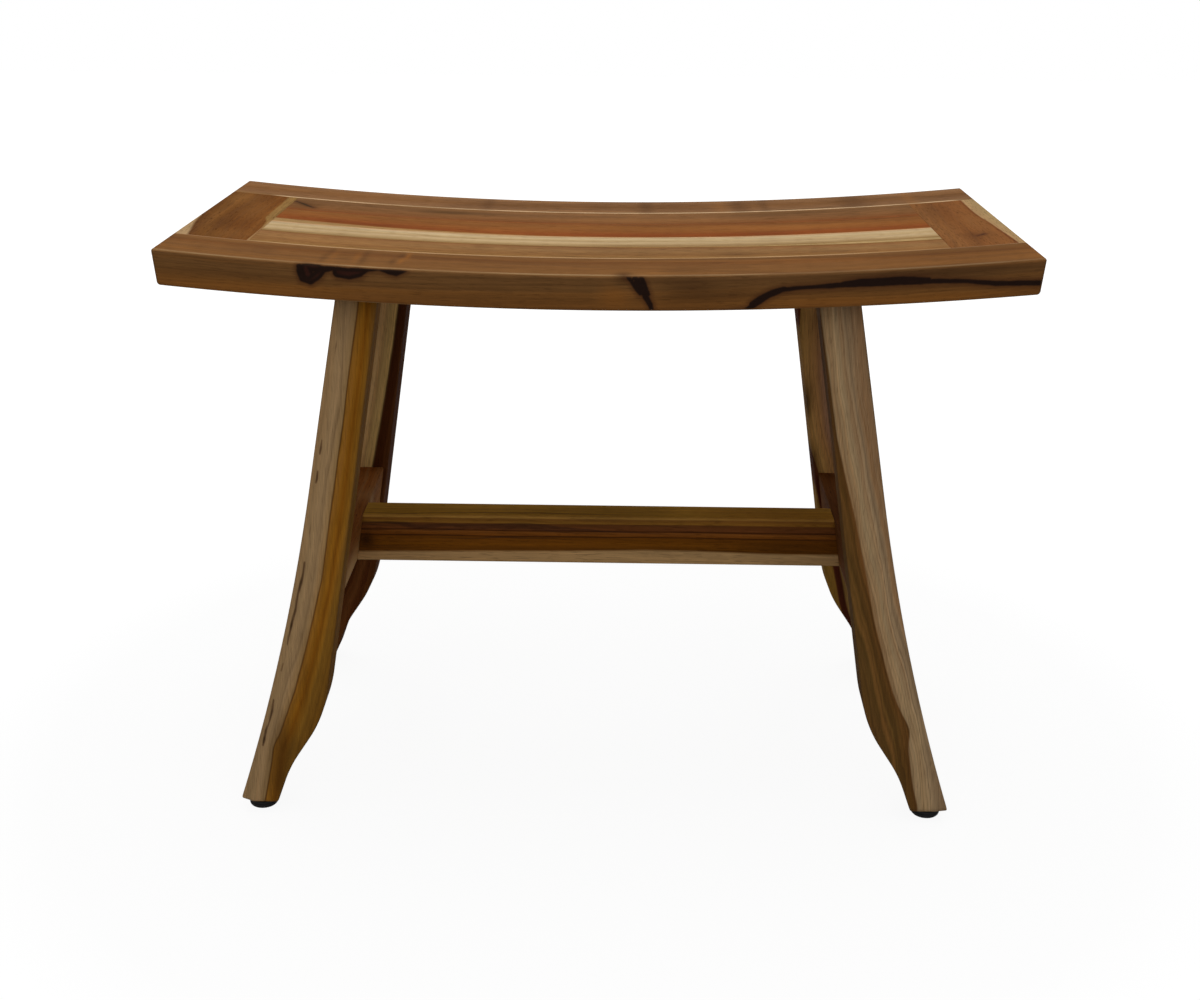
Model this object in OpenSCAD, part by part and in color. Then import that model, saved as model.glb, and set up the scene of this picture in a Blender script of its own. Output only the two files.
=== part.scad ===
// Teak shower bench: a curved, framed seat on four splayed legs with an H-shaped stretcher
// and four screw-in levelling feet.
// Origin: middle of the footprint, on the floor. +X along the seat, +Y to the back, +Z up.

/* [Seat] */
// Length of the seat from end to end
seat_len = 610; // [570:5:660]
// Depth of the seat from front edge to back edge
seat_depth = 305; // [290:5:340]
// Height of the raised ends of the seat above the floor
seat_height = 440; // [415:5:480]
// How far the middle of the seat dips below its ends
seat_dip = 15; // [10:1:22]
// Thickness of the seat boards
seat_thick = 25; // [22:1:30]
// How far each end of the seat leans in towards its underside
end_undercut = 2.5; // [0:0.5:5]
// Rounding of the long outer edges of the seat
seat_edge_r = 3; // [1:0.5:5]
// Width of the front rail and of the back rail
rail_w = 59; // [54:1:64]
// Width of the two end boards
end_board_w = 54; // [46:1:62]
// Width of the red strip of the seat panel
red_strip_w = 54; // [44:1:58]
// Width of the cream strip of the seat panel
cream_strip_w = 38; // [32:1:44]
// Width of the tan strip of the seat panel
tan_strip_w = 43; // [36:1:50]

/* [Legs] */
// Distance from the end of the seat to the outer side of a leg at its top
seat_overhang = 120; // [105:1:135]
// Distance from the front or back edge of the seat to the face of a leg at its top
leg_inset = 30; // [24:1:34]
// Thickness of a leg from front to back
leg_depth = 33; // [30:1:36]
// Width of a leg at its top
leg_top_w = 30; // [28:1:34]
// Sideways lean of the straight part of a leg's outer edge, in degrees
outer_lean = 9.65; // [8.5:0.05:10.5]
// Sideways lean of the straight part of a leg's inner edge, in degrees
inner_lean = 8.8; // [8:0.05:9.6]
// Lean of a leg to the front or back, in degrees
leg_splay = 4; // [2:0.25:4.5]
// Height where the outer edge of a leg starts to flare
flare_height = 262; // [240:1:290]
// Radius of the flare of the outer edge
flare_r = 1700; // [1500:10:2000]
// Height of the knee on the inner edge of a leg
knee_height = 81; // [74:1:90]
// Lean of the inner edge between knee and ankle, in degrees
knee_lean = 33.4; // [28:0.2:36]
// Rounding of the knee
knee_r = 100; // [60:5:110]
// Height of the ankle on the inner edge of a leg
ankle_height = 39; // [34:1:44]
// Lean of the inner edge below the ankle, in degrees
ankle_lean = 19.8; // [17:0.2:22]
// Rounding of the ankle
ankle_r = 100; // [60:5:110]

/* [Stretchers] */
// Height of the underside of the stretchers above the floor
stretcher_z = 158; // [140:1:190]
// Height of the section of all three stretchers
stretcher_h = 40; // [34:1:46]
// Thickness of a side stretcher
side_stretcher_t = 28; // [22:1:29]
// Step from the inner edge of a leg to the inner face of a side stretcher
side_stretcher_step = 3.7; // [2:0.1:5]
// Thickness of the centre stretcher from front to back
centre_stretcher_t = 32; // [26:1:38]
// Rounding of the long edges of the stretchers
stretcher_edge_r = 4; // [1:0.5:6]

/* [Joinery] */
// Thickness of the tongues on the ends of the seat strips
tongue_t = 8; // [6:0.5:9]
// Length of the tongues on the ends of the seat strips
tongue_len = 8; // [6:0.5:10]
// Thickness of the loose splines in the seams of the seat
spline_t = 6; // [4:0.5:8]
// Width of the loose splines
spline_w = 12; // [10:0.5:13]
// Distance from the end of a spline to the end board
spline_stop = 12; // [8:1:20]
// Diameter of the dowels
dowel_d = 8; // [6:0.5:8]
// Length of the dowels between the rails and the end boards
board_dowel_len = 40; // [30:1:50]
// Distance between the two dowels of an end board joint
board_dowel_step = 24; // [16:1:28]
// How far a leg dowel goes up into the seat rail
leg_dowel_up = 15; // [12:1:16]
// How far a leg dowel goes down into the leg
leg_dowel_down = 25; // [20:1:32]
// Distance between the two dowels of a leg
leg_dowel_step = 13; // [11:0.5:15]
// Thickness of the flat cleats under the seat
cleat_t = 12; // [10:1:14]
// Width of the cleats
cleat_w = 44; // [36:1:52]
// Clearance between the ends of a cleat and the legs
cleat_end_gap = 0.2; // [0.1:0.05:0.4]
// Diameter of the dowels between cleats and legs
cleat_dowel_d = 6; // [5:0.5:7]
// How far a cleat dowel goes into the leg, and into the cleat
cleat_dowel_reach = 10; // [8:0.5:10]
// Thickness of the tenons of the side stretchers
tenon_t = 12; // [9:0.5:14]
// Height of the tenons of the side stretchers
tenon_h = 26; // [20:1:30]
// Length of the tenons of the side stretchers
tenon_len = 20; // [15:1:24]
// Length of the dowels between the side stretchers and the centre stretcher
stretcher_dowel_len = 40; // [30:1:44]
// Distance between the two dowels at an end of the centre stretcher
stretcher_dowel_step = 24; // [20:0.5:26]
// Clearance that the glue fills all round a dowel, spline, tongue or tenon
glue_gap = 0.05; // [0.02:0.01:0.1]

/* [Screws] */
// Diameter of the screws under the seat
cleat_screw_d = 4.5; // [3.5:0.5:5]
// Length of the screws under the seat
cleat_screw_len = 30; // [26:1:32]
// Diameter of the countersunk heads of the screws under the seat
cleat_head_d = 9; // [8:0.5:10]
// Distance of the screws under the seat from the cleat's centre line, to either side in turn
cleat_screw_offset = 10; // [9:0.5:12]
// Diameter of the screws in the ends of the centre stretcher
long_screw_d = 5; // [4:0.5:6]
// Length of the screws in the ends of the centre stretcher
long_screw_len = 60; // [45:1:70]
// Diameter of the flat heads of the long screws
long_head_d = 9; // [8:0.5:9]
// Height of the flat heads of the long screws
long_head_h = 3; // [2.5:0.25:4]
// Width of the cross recess in a screw head
recess_w = 1.2; // [0.8:0.1:1.6]
// Span of the cross recess in a screw head
recess_span = 4.2; // [3:0.1:5]
// Depth of the cross recess in a screw head
recess_depth = 1.5; // [1:0.1:2]
// Depth of the wooden plugs over the long screws
plug_depth = 8; // [5:0.5:10]
// Diameter of the wooden plugs over the long screws
plug_d = 10; // [9:0.5:12]

/* [Levelling feet] */
// Diameter of the black foot pads
pad_d = 22; // [19:0.5:24]
// Height of the foot pads
pad_h = 6.5; // [5.5:0.1:8]
// Rounding of the lower edge of the foot pads
pad_edge_r = 3; // [1:0.1:3.5]
// Thickness of the pad's floor under the swivel disc
pad_floor = 2; // [1.5:0.1:2.5]
// Diameter of the swivel disc inside the pad
disc_d = 10; // [9:0.5:12]
// Thickness of the swivel disc
disc_h = 1.6; // [1.2:0.1:2]
// Distance across the flats of the spanner collar
collar_flats = 10; // [9:0.5:12]
// Height of the spanner collar
collar_h = 3; // [2.5:0.1:4]
// Diameter of the threaded stem
stem_d = 6; // [5:0.5:7]
// Length of the threaded stem above its collar
stem_len = 20; // [16:0.5:21]
// Free depth of the hole above the stem
stem_hole_spare = 2; // [1:0.5:3]
// Diameter of the threaded insert in the leg
insert_d = 9; // [8.5:0.5:11]
// Length of the threaded insert
insert_len = 12; // [10:0.5:14]
// Clearance between the stem and the insert's bore
thread_gap = 0.05; // [0.03:0.01:0.1]
// Clearance round the swivel disc and above the pad
swivel_gap = 0.2; // [0.15:0.05:0.3]
// Clearance between the collar and the leg when the foot is screwed fully in
stop_gap = 0.3; // [0.2:0.05:0.5]

/* [Hidden] */

// Sides and ends of the bench, as signs along X and Y
LEFT = -1;
RIGHT = 1;
FRONT = -1;
BACK = 1;
SIDES = [LEFT, RIGHT];
ENDS = [FRONT, BACK];

// Smoothness of small round parts and of the seat's long arcs
$fn = 48;
long_arc_fn = 720;
// A rounded long edge has three flats, the corners of this many-sided figure
edge_fn = 12;
// Flats along the rounded knee or ankle of a leg, and along its flare
bend_steps = 10;
flare_steps = 16;
// Surplus that lets a cutting shape run past the face that it cuts
past = 1;

// The seat's top is an arc about an axis along Y, above the seat
arc_r = (pow(seat_len / 2, 2) + pow(seat_dip, 2)) / (2 * seat_dip);
arc_z = seat_height - seat_dip + arc_r;
under_r = arc_r + seat_thick;
mid_r = arc_r + seat_thick / 2;
end_slope = end_undercut / seat_thick;
trim_up = 2 * seat_dip;
trim_down = 2 * seat_dip + seat_thick;
sweep_end = seat_len / 2 + past;

// Seat boards: the panel lies inside the rails and end boards
panel_depth = seat_depth - 2 * rail_w;
panel_half_len = seat_len / 2 - end_board_w;
brown_strip_w = panel_depth - red_strip_w - cream_strip_w - tan_strip_w;
tan_front = -panel_depth / 2;
cream_front = tan_front + tan_strip_w;
red_front = cream_front + cream_strip_w;
brown_front = red_front + red_strip_w;
panel_back = panel_depth / 2;
seams = [tan_front, cream_front, red_front, brown_front, panel_back];
strip_middles = [for (i = [0 : len(seams) - 2]) (seams[i] + seams[i + 1]) / 2];
spline_half_len = panel_half_len - spline_stop;
end_board_mid = seat_len / 2 - end_board_w / 2;

// Leg top: where its axis meets the underside of the seat
leg_top_x = seat_len / 2 - seat_overhang;
leg_top_y = seat_depth / 2 - leg_inset;
leg_axis_x = leg_top_x - leg_top_w / 2;
leg_axis_lean = (outer_lean + inner_lean) / 2;
joint_z = underside_z(leg_axis_x);
leg_rise = 2 * seat_dip;

// The foot of a leg stands above the stack of pad, collar and clearances
foot_z = pad_h + swivel_gap + collar_h + stop_gap;

// Key points of the leg outline, as [x, distance along the leg's face from its top].
// The outline runs on past the foot, to where it is cut off level.
leg_tip = along_leg(foot_z) - leg_depth;
flare_start = [leg_top_x - tan(outer_lean) * along_leg(flare_height), along_leg(flare_height)];
flare_centre = flare_start + flare_r * [cos(outer_lean), sin(outer_lean)];
flare_end_angle = asin((flare_centre[1] - leg_tip) / flare_r);
knee = [inner_edge_x(along_leg(knee_height)), along_leg(knee_height)];
ankle = knee + along_leg_step(knee_lean, along_leg(ankle_height) - knee[1]);
toe = ankle + along_leg_step(ankle_lean, leg_tip - ankle[1]);
inner_top = [inner_edge_x(leg_rise), leg_rise];
outer_top = [leg_top_x - tan(outer_lean) * leg_rise, leg_rise];

// Place of a levelling foot: under the middle of the leg's foot
foot_inner_x = ankle[0] - tan(ankle_lean) * (along_leg(foot_z) - ankle[1]);
foot_outer_x = flare_centre[0] - sqrt(pow(flare_r, 2) - pow(flare_centre[1] - along_leg(foot_z), 2));
foot_x = (foot_inner_x + foot_outer_x) / 2;
foot_y = (leg_outer_y(foot_z) + leg_inner_y(foot_z)) / 2;

// Side stretchers lie parallel to the inner edge of the legs
stretcher_top = stretcher_z + stretcher_h;
stretcher_mid = stretcher_z + stretcher_h / 2;
shoulder_y = leg_inner_y(stretcher_mid);
tenon_half_len = shoulder_y + tenon_len;

// Cleats lie flat against the underside, in line with it at the leg axis
cleat_tilt = asin(leg_axis_x / under_r);
cleat_dowel_z = joint_z - cleat_t / 2;

// A countersunk head is a 90 degree cone; a screw's point is this many diameters long
cleat_head_h = (cleat_head_d - cleat_screw_d) / 2;
screw_point = 1.5;

// Levelling foot
stem_r = stem_d / 2;
pad_cavity_h = disc_h + 2 * swivel_gap;
collar_bottom = pad_h + swivel_gap;
collar_top = collar_bottom + collar_h;
stem_top = collar_top + stem_len;
bore_r = stem_r + thread_gap;

// Height of the seat's underside at a distance x from the middle
function underside_z(x) = arc_z - sqrt(pow(under_r, 2) - pow(x, 2));
// Sweep angle, from the middle of the seat, of a point of its top surface at x
function sweep_to(x) = asin(x / arc_r);
// Distance along the leg's slanted face, from its top, of a height above the floor
function along_leg(z) = (z - joint_z) / cos(leg_splay);
// Step along the leg outline: down by a (negative) length, out by the lean
function along_leg_step(lean, down) = [-tan(lean) * down, down];
// Inner edge of the leg outline above the knee
function inner_edge_x(down) = leg_top_x - leg_top_w - tan(inner_lean) * down;
// Distance of a leg's outer and inner face from the bench's middle plane
function leg_outer_y(z) = leg_top_y - tan(leg_splay) * (z - joint_z);
function leg_inner_y(z) = leg_outer_y(z) - leg_depth / cos(leg_splay);
// Inner face of a side stretcher at a height above the floor
function side_face_x(z) = inner_edge_x(along_leg(z)) + side_stretcher_step;

function unit(v) = v / norm(v);
// Points along an arc about c, from angle a0 to angle a1; a negative r gives the far side
function arc(c, r, a0, a1, steps) = [
    for (i = [0 : steps])
        let (a = a0 + (a1 - a0) * i / steps) c + r * [cos(a), sin(a)]
];
// Points along the rounding of the corner at p between its neighbours a and b
function rounded(p, a, b, r, steps) =
    let (
        half = acos(unit(a - p) * unit(b - p)) / 2,
        c = p + unit(unit(a - p) + unit(b - p)) * r / sin(half),
        from = p + unit(a - p) * r / tan(half) - c,
        to = p + unit(b - p) * r / tan(half) - c
    )
    [for (i = [0 : steps]) c + r * unit(from + (to - from) * i / steps)];

// ---- Helpers ----

module to_side(side) {
    if (side < 0) mirror([1, 0, 0]) children();
    else children();
}

// What it holds is drawn for the front and mirrored to the back
module to_end(end) {
    if (end > 0) mirror([0, 1, 0]) children();
    else children();
}

module to_corner(side, end) {
    to_side(side) to_end(end) children();
}

module at_all_corners() {
    for (side = SIDES, end = ENDS) to_corner(side, end) children();
}

// Sweeps a section, drawn as [radius, y], along the seat's curve from x0 to x1
module along_seat(x0, x1) {
    a0 = sweep_to(x0);
    a1 = sweep_to(x1);
    translate([0, 0, arc_z])
        rotate([-90, 0, 0])
            rotate([0, 0, 90 - a1])
                rotate_extrude(angle = a1 - a0, $fn = long_arc_fn) children();
}

// Section of a board, with its lower-radius side on the seat's top
module board_section(y0, y1) {
    translate([arc_r, y0]) square([seat_thick, y1 - y0]);
}

// Removes the sharp corner at c of a section; dir points from the corner into the wood
module edge_round(c, dir, r) {
    translate(c) difference() {
        translate([dir[0] > 0 ? -past : -r, dir[1] > 0 ? -past : -r]) square(r + past);
        translate(dir * r) circle(r);
    }
}

// Everything between the two slanted end cuts of the seat
module between_end_cuts() {
    top = seat_height + trim_up;
    bottom = seat_height - trim_down;
    half_top = seat_len / 2 + end_slope * trim_up;
    half_bottom = seat_len / 2 - end_slope * trim_down;
    rotate([90, 0, 0])
        linear_extrude(height = seat_depth + 2 * past, center = true)
            polygon([[-half_top, top], [half_top, top], [half_bottom, bottom], [-half_bottom, bottom]]);
}

// The space above the underside of the seat
module above_underside() {
    translate([0, 0, arc_z])
        rotate([90, 0, 0])
            cylinder(r = under_r, h = seat_depth, center = true, $fn = long_arc_fn);
}

// ---- Seat joinery shared by the pieces on both sides of a joint ----

module spline(seam, gap) {
    t = spline_t + 2 * gap;
    w = spline_w + 2 * gap;
    along_seat(-spline_half_len - gap, spline_half_len + gap)
        translate([mid_r - t / 2, seam - w / 2]) square([t, w]);
}

module tongues(y0, y1, gap) {
    t = tongue_t + 2 * gap;
    reach = panel_half_len + tongue_len + gap;
    along_seat(-reach, reach)
        translate([mid_r - t / 2, y0]) square([t, y1 - y0]);
}

// The dowels between the end boards and one rail
module board_dowels(side, end, gap) {
    for (step = [-0.5, 0.5]) {
        a = sweep_to(end_board_mid + step * board_dowel_step);
        translate([side * mid_r * sin(a), end * panel_depth / 2, arc_z - mid_r * cos(a)])
            rotate([90, 0, 0])
                cylinder(d = dowel_d + 2 * gap, h = board_dowel_len + 2 * gap, center = true);
    }
}

// The pair of dowels in the top of the front right leg, along its axis
module leg_dowel_pair(gap) {
    translate([0, -leg_top_y, joint_z])
        rotate([-leg_splay, 0, 0])
            translate([leg_axis_x, leg_depth / 2, 0])
                rotate([0, -leg_axis_lean, 0])
                    for (step = [-0.5, 0.5])
                        translate([step * leg_dowel_step, 0, -leg_dowel_down - gap])
                            cylinder(d = dowel_d + 2 * gap, h = leg_dowel_down + leg_dowel_up + 2 * gap);
}

// Brings a shape to the top face of a cleat, in the middle of its length
module at_cleat(side) {
    to_side(side) translate([leg_axis_x, 0, joint_z]) rotate([0, -cleat_tilt, 0]) children();
}

// The dowel between a right-hand cleat and the front leg
module cleat_dowel(gap) {
    at_cleat(RIGHT)
        translate([0, -leg_inner_y(cleat_dowel_z), -cleat_t / 2])
            rotate([90, 0, 0])
                cylinder(d = cleat_dowel_d + 2 * gap, h = 2 * (cleat_dowel_reach + gap), center = true);
}

// A countersunk screw pointing up, its head flush with z = 0
module countersunk_screw(gap) {
    r = cleat_screw_d / 2 + gap;
    shank = cleat_screw_len - screw_point * cleat_screw_d;
    rotate_extrude()
        polygon([
            [0, 0], [cleat_head_d / 2 + gap, 0], [r, cleat_head_h + gap], [r, shank],
            [0, cleat_screw_len + gap]
        ]);
}

module at_cleat_screws(side) {
    for (i = [0 : len(strip_middles) - 1]) {
        x = i % 2 == 0 ? cleat_screw_offset : -cleat_screw_offset;
        at_cleat(side) translate([x, strip_middles[i], -cleat_t]) children();
    }
}

module cross_recess() {
    for (turn = [0, 90])
        rotate([0, 0, turn])
            cube([recess_span, recess_w, 2 * recess_depth], center = true);
}

// ---- Seat ----

module rail(end) {
    outer = end * seat_depth / 2;
    inner = end * panel_depth / 2;
    difference() {
        intersection() {
            along_seat(-sweep_end, sweep_end)
                difference() {
                    board_section(min(inner, outer), max(inner, outer));
                    edge_round([arc_r, outer], [1, -end], seat_edge_r, $fn = edge_fn);
                    edge_round([under_r, outer], [-1, -end], seat_edge_r, $fn = edge_fn);
                }
            between_end_cuts();
        }
        spline(inner, glue_gap);
        for (side = SIDES) {
            board_dowels(side, end, glue_gap);
            to_corner(side, end) leg_dowel_pair(glue_gap);
        }
    }
}

module end_board(side) {
    difference() {
        intersection() {
            to_side(side)
                along_seat(panel_half_len, sweep_end)
                    board_section(tan_front, panel_back);
            between_end_cuts();
        }
        tongues(tan_front - past, panel_back + past, glue_gap);
        for (end = ENDS) board_dowels(side, end, glue_gap);
    }
}

module strip(front, width) {
    back = front + width;
    difference() {
        union() {
            along_seat(-panel_half_len, panel_half_len) board_section(front, back);
            tongues(front, back, 0);
        }
        for (seam = [front, back]) spline(seam, glue_gap);
        for (side = SIDES) at_cleat_screws(side) countersunk_screw(glue_gap);
    }
}

module seat_front_rail() {
    color("#7a4f2a") rail(FRONT);
}

module seat_back_rail() {
    color("#75492a") rail(BACK);
}

module seat_left_end_board() {
    color("#6e4526") end_board(LEFT);
}

module seat_right_end_board() {
    color("#7d5030") end_board(RIGHT);
}

module seat_brown_strip() {
    color("#7b5431") strip(brown_front, brown_strip_w);
}

module seat_red_strip() {
    color("#8c4a28") strip(red_front, red_strip_w);
}

module seat_cream_strip() {
    color("#b39a6b") strip(cream_front, cream_strip_w);
}

module seat_tan_strip() {
    color("#86603a") strip(tan_front, tan_strip_w);
}

module seat_splines() {
    color("#a5845a") for (seam = seams) spline(seam, 0);
}

module end_board_dowels() {
    color("#b8976a") for (side = SIDES, end = ENDS) board_dowels(side, end, 0);
}

// ---- Cleats under the seat ----

module cleat(side) {
    top_y = leg_inner_y(joint_z) - cleat_end_gap;
    bottom_y = leg_inner_y(joint_z - cleat_t) - cleat_end_gap;
    difference() {
        at_cleat(side)
            rotate([90, 0, 90])
                linear_extrude(height = cleat_w, center = true)
                    polygon([[-bottom_y, -cleat_t], [bottom_y, -cleat_t], [top_y, 0], [-top_y, 0]]);
        at_cleat_screws(side) countersunk_screw(glue_gap);
        for (end = ENDS) to_corner(side, end) cleat_dowel(glue_gap);
    }
}

module left_cleat() {
    color("#7a532f") cleat(LEFT);
}

module right_cleat() {
    color("#7a532f") cleat(RIGHT);
}

module cleat_screws() {
    color("#b9bcc0") for (side = SIDES) at_cleat_screws(side) difference() {
        countersunk_screw(0);
        cross_recess();
    }
}

module cleat_dowels() {
    color("#b8976a") at_all_corners() cleat_dowel(0);
}

// ---- Legs ----

// Side view of the right legs: x to the outside, y up from the leg's top
module leg_outline() {
    polygon(concat(
        [outer_top, inner_top],
        rounded(knee, inner_top, ankle, knee_r, bend_steps),
        rounded(ankle, knee, toe, ankle_r, bend_steps),
        [toe],
        arc(flare_centre, -flare_r, flare_end_angle, outer_lean, flare_steps)
    ));
}

module leg_blank() {
    translate([0, -leg_top_y, joint_z])
        rotate([90 - leg_splay, 0, 0])
            translate([0, 0, -leg_depth])
                linear_extrude(height = leg_depth) leg_outline();
}

module foot_hole() {
    translate([foot_x, -foot_y, foot_z - past]) {
        cylinder(d = insert_d + 2 * glue_gap, h = insert_len + past);
        cylinder(r = stem_r + swivel_gap, h = stem_top - foot_z + stem_hole_spare + past);
    }
}

module leg(side, end) {
    below_foot = 2 * leg_depth;
    to_corner(side, end) difference() {
        leg_blank();
        above_underside();
        translate([0, -seat_depth, foot_z - below_foot]) cube([seat_len, seat_depth, below_foot]);
        leg_dowel_pair(glue_gap);
        cleat_dowel(glue_gap);
        tenon_bar(glue_gap);
        foot_hole();
    }
}

module front_left_leg() {
    color("#8a6a43") leg(LEFT, FRONT);
}

module front_right_leg() {
    color("#8b7150") leg(RIGHT, FRONT);
}

module back_left_leg() {
    color("#6f5638") leg(LEFT, BACK);
}

module back_right_leg() {
    color("#6f5638") leg(RIGHT, BACK);
}

module leg_dowels() {
    color("#b8976a") at_all_corners() leg_dowel_pair(0);
}

// ---- Stretchers ----

// A slanted section parallel to the inner edge of the legs, drawn as [x, z]
module slanted_section(z0, z1, in, out) {
    polygon([
        [side_face_x(z0) + in, z0], [side_face_x(z0) + out, z0],
        [side_face_x(z1) + out, z1], [side_face_x(z1) + in, z1]
    ]);
}

module along_y(half_len) {
    rotate([90, 0, 0]) linear_extrude(height = 2 * half_len, center = true) children();
}

// The bar that forms the tenons at both ends of the right side stretcher
module tenon_bar(gap) {
    half_h = tenon_h / 2 + gap;
    in = (side_stretcher_t - tenon_t) / 2 - gap;
    along_y(tenon_half_len + gap)
        slanted_section(stretcher_mid - half_h, stretcher_mid + half_h, in, in + tenon_t + 2 * gap);
}

// Everything between the inner faces of the front and back legs
module between_legs() {
    low_y = leg_inner_y(stretcher_z);
    high_y = leg_inner_y(stretcher_top);
    rotate([90, 0, 90])
        linear_extrude(height = seat_len)
            polygon([
                [-low_y, stretcher_z], [low_y, stretcher_z], [high_y, stretcher_top], [-high_y, stretcher_top]
            ]);
}

// The pair of dowels at the right end of the centre stretcher
module stretcher_dowel_pair(gap) {
    for (step = [-0.5, 0.5]) {
        z = stretcher_mid + step * stretcher_dowel_step;
        translate([side_face_x(z), 0, z])
            rotate([0, 90, 0])
                cylinder(d = dowel_d + 2 * gap, h = stretcher_dowel_len + 2 * gap, center = true);
    }
}

// Brings a shape drawn along +Z to the bottom of the right plug hole, pointing inwards
module at_long_screw() {
    translate([side_face_x(stretcher_mid) + side_stretcher_t - plug_depth, 0, stretcher_mid])
        rotate([0, -90, 0]) children();
}

module long_screw(gap) {
    r = long_screw_d / 2 + gap;
    shank = long_screw_len - screw_point * long_screw_d;
    rotate_extrude()
        polygon([
            [0, -gap], [long_head_d / 2 + gap, -gap], [long_head_d / 2 + gap, long_head_h], [r, long_head_h],
            [r, shank], [0, long_screw_len + gap]
        ]);
}

module plug_bore(gap) {
    slant = tan(inner_lean) * plug_d;
    at_long_screw()
        translate([0, 0, -plug_depth - slant])
            cylinder(d = plug_d + 2 * gap, h = plug_depth + slant);
}

module side_stretcher(side) {
    to_side(side) difference() {
        union() {
            intersection() {
                along_y(seat_depth) slanted_section(stretcher_z, stretcher_top, 0, side_stretcher_t);
                between_legs();
            }
            tenon_bar(0);
        }
        stretcher_dowel_pair(glue_gap);
        at_long_screw() long_screw(glue_gap);
        plug_bore(glue_gap);
    }
}

module left_side_stretcher() {
    color("#5f3f22") side_stretcher(LEFT);
}

module right_side_stretcher() {
    color("#5f3f22") side_stretcher(RIGHT);
}

module rounded_section(w, h, r) {
    difference() {
        translate([-w / 2, -h / 2]) square([w, h]);
        for (sx = [-1, 1], sy = [-1, 1])
            edge_round([sx * w / 2, sy * h / 2], [-sx, -sy], r, $fn = edge_fn);
    }
}

module centre_stretcher() {
    low_x = side_face_x(stretcher_z);
    high_x = side_face_x(stretcher_top);
    color("#6a4324") difference() {
        intersection() {
            translate([0, 0, stretcher_mid])
                rotate([90, 0, 90])
                    linear_extrude(height = seat_len, center = true)
                        rounded_section(centre_stretcher_t, stretcher_h, stretcher_edge_r);
            along_y(seat_depth)
                polygon([
                    [-low_x, stretcher_z], [low_x, stretcher_z], [high_x, stretcher_top], [-high_x, stretcher_top]
                ]);
        }
        for (side = SIDES) to_side(side) {
            stretcher_dowel_pair(glue_gap);
            at_long_screw() long_screw(glue_gap);
        }
    }
}

module stretcher_dowels() {
    color("#b8976a") for (side = SIDES) to_side(side) stretcher_dowel_pair(0);
}

module stretcher_screws() {
    color("#b9bcc0") for (side = SIDES) to_side(side) at_long_screw() difference() {
        long_screw(0);
        cross_recess();
    }
}

module stretcher_plugs() {
    color("#8f6a41") for (side = SIDES) to_side(side) intersection() {
        plug_bore(0);
        along_y(plug_d) slanted_section(stretcher_z, stretcher_top, 0, side_stretcher_t);
    }
}

// ---- Levelling feet ----

module insert() {
    translate([foot_x, -foot_y, foot_z]) difference() {
        cylinder(d = insert_d, h = insert_len);
        translate([0, 0, -past]) cylinder(r = bore_r, h = insert_len + 2 * past);
    }
}

module foot_inserts() {
    color("#b5953f") at_all_corners() insert();
}

module pad(side, end) {
    r = pad_d / 2;
    to_corner(side, end) translate([foot_x, -foot_y, 0]) difference() {
        rotate_extrude() difference() {
            square([r, pad_h]);
            edge_round([r, 0], [-1, 1], pad_edge_r);
        }
        translate([0, 0, pad_floor]) cylinder(r = disc_d / 2 + swivel_gap, h = pad_cavity_h);
        translate([0, 0, pad_floor]) cylinder(r = stem_r + swivel_gap, h = pad_h);
    }
}

module stem(side, end) {
    disc_bottom = pad_floor + swivel_gap;
    to_corner(side, end) translate([foot_x, -foot_y, 0]) {
        translate([0, 0, disc_bottom]) cylinder(d = disc_d, h = disc_h);
        translate([0, 0, disc_bottom]) cylinder(r = stem_r, h = stem_top - disc_bottom);
        translate([0, 0, collar_bottom]) cylinder(d = collar_flats / cos(30), h = collar_h, $fn = 6);
    }
}

module front_left_pad() {
    color("#151313") pad(LEFT, FRONT);
}

module front_right_pad() {
    color("#151313") pad(RIGHT, FRONT);
}

module back_left_pad() {
    color("#151313") pad(LEFT, BACK);
}

module back_right_pad() {
    color("#151313") pad(RIGHT, BACK);
}

module front_left_stem() {
    color("#8e9094") stem(LEFT, FRONT);
}

module front_right_stem() {
    color("#8e9094") stem(RIGHT, FRONT);
}

module back_left_stem() {
    color("#8e9094") stem(LEFT, BACK);
}

module back_right_stem() {
    color("#8e9094") stem(RIGHT, BACK);
}

seat_front_rail();
seat_back_rail();
seat_left_end_board();
seat_right_end_board();
seat_brown_strip();
seat_red_strip();
seat_cream_strip();
seat_tan_strip();
seat_splines();
end_board_dowels();
left_cleat();
right_cleat();
cleat_screws();
cleat_dowels();
front_left_leg();
front_right_leg();
back_left_leg();
back_right_leg();
leg_dowels();
left_side_stretcher();
right_side_stretcher();
centre_stretcher();
stretcher_dowels();
stretcher_screws();
stretcher_plugs();
foot_inserts();
front_left_pad();
front_right_pad();
back_left_pad();
back_right_pad();
front_left_stem();
front_right_stem();
back_left_stem();
back_right_stem();
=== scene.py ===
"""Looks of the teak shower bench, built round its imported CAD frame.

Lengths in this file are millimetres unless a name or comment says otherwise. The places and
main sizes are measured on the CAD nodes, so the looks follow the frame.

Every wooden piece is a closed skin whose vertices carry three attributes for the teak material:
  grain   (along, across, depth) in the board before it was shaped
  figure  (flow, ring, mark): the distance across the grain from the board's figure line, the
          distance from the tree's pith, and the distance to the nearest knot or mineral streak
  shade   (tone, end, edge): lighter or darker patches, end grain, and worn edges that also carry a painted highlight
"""
import math
from dataclasses import dataclass

import bmesh
import bpy
import numpy as np
from mathutils import Matrix, Vector
from mathutils.bvhtree import BVHTree


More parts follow.
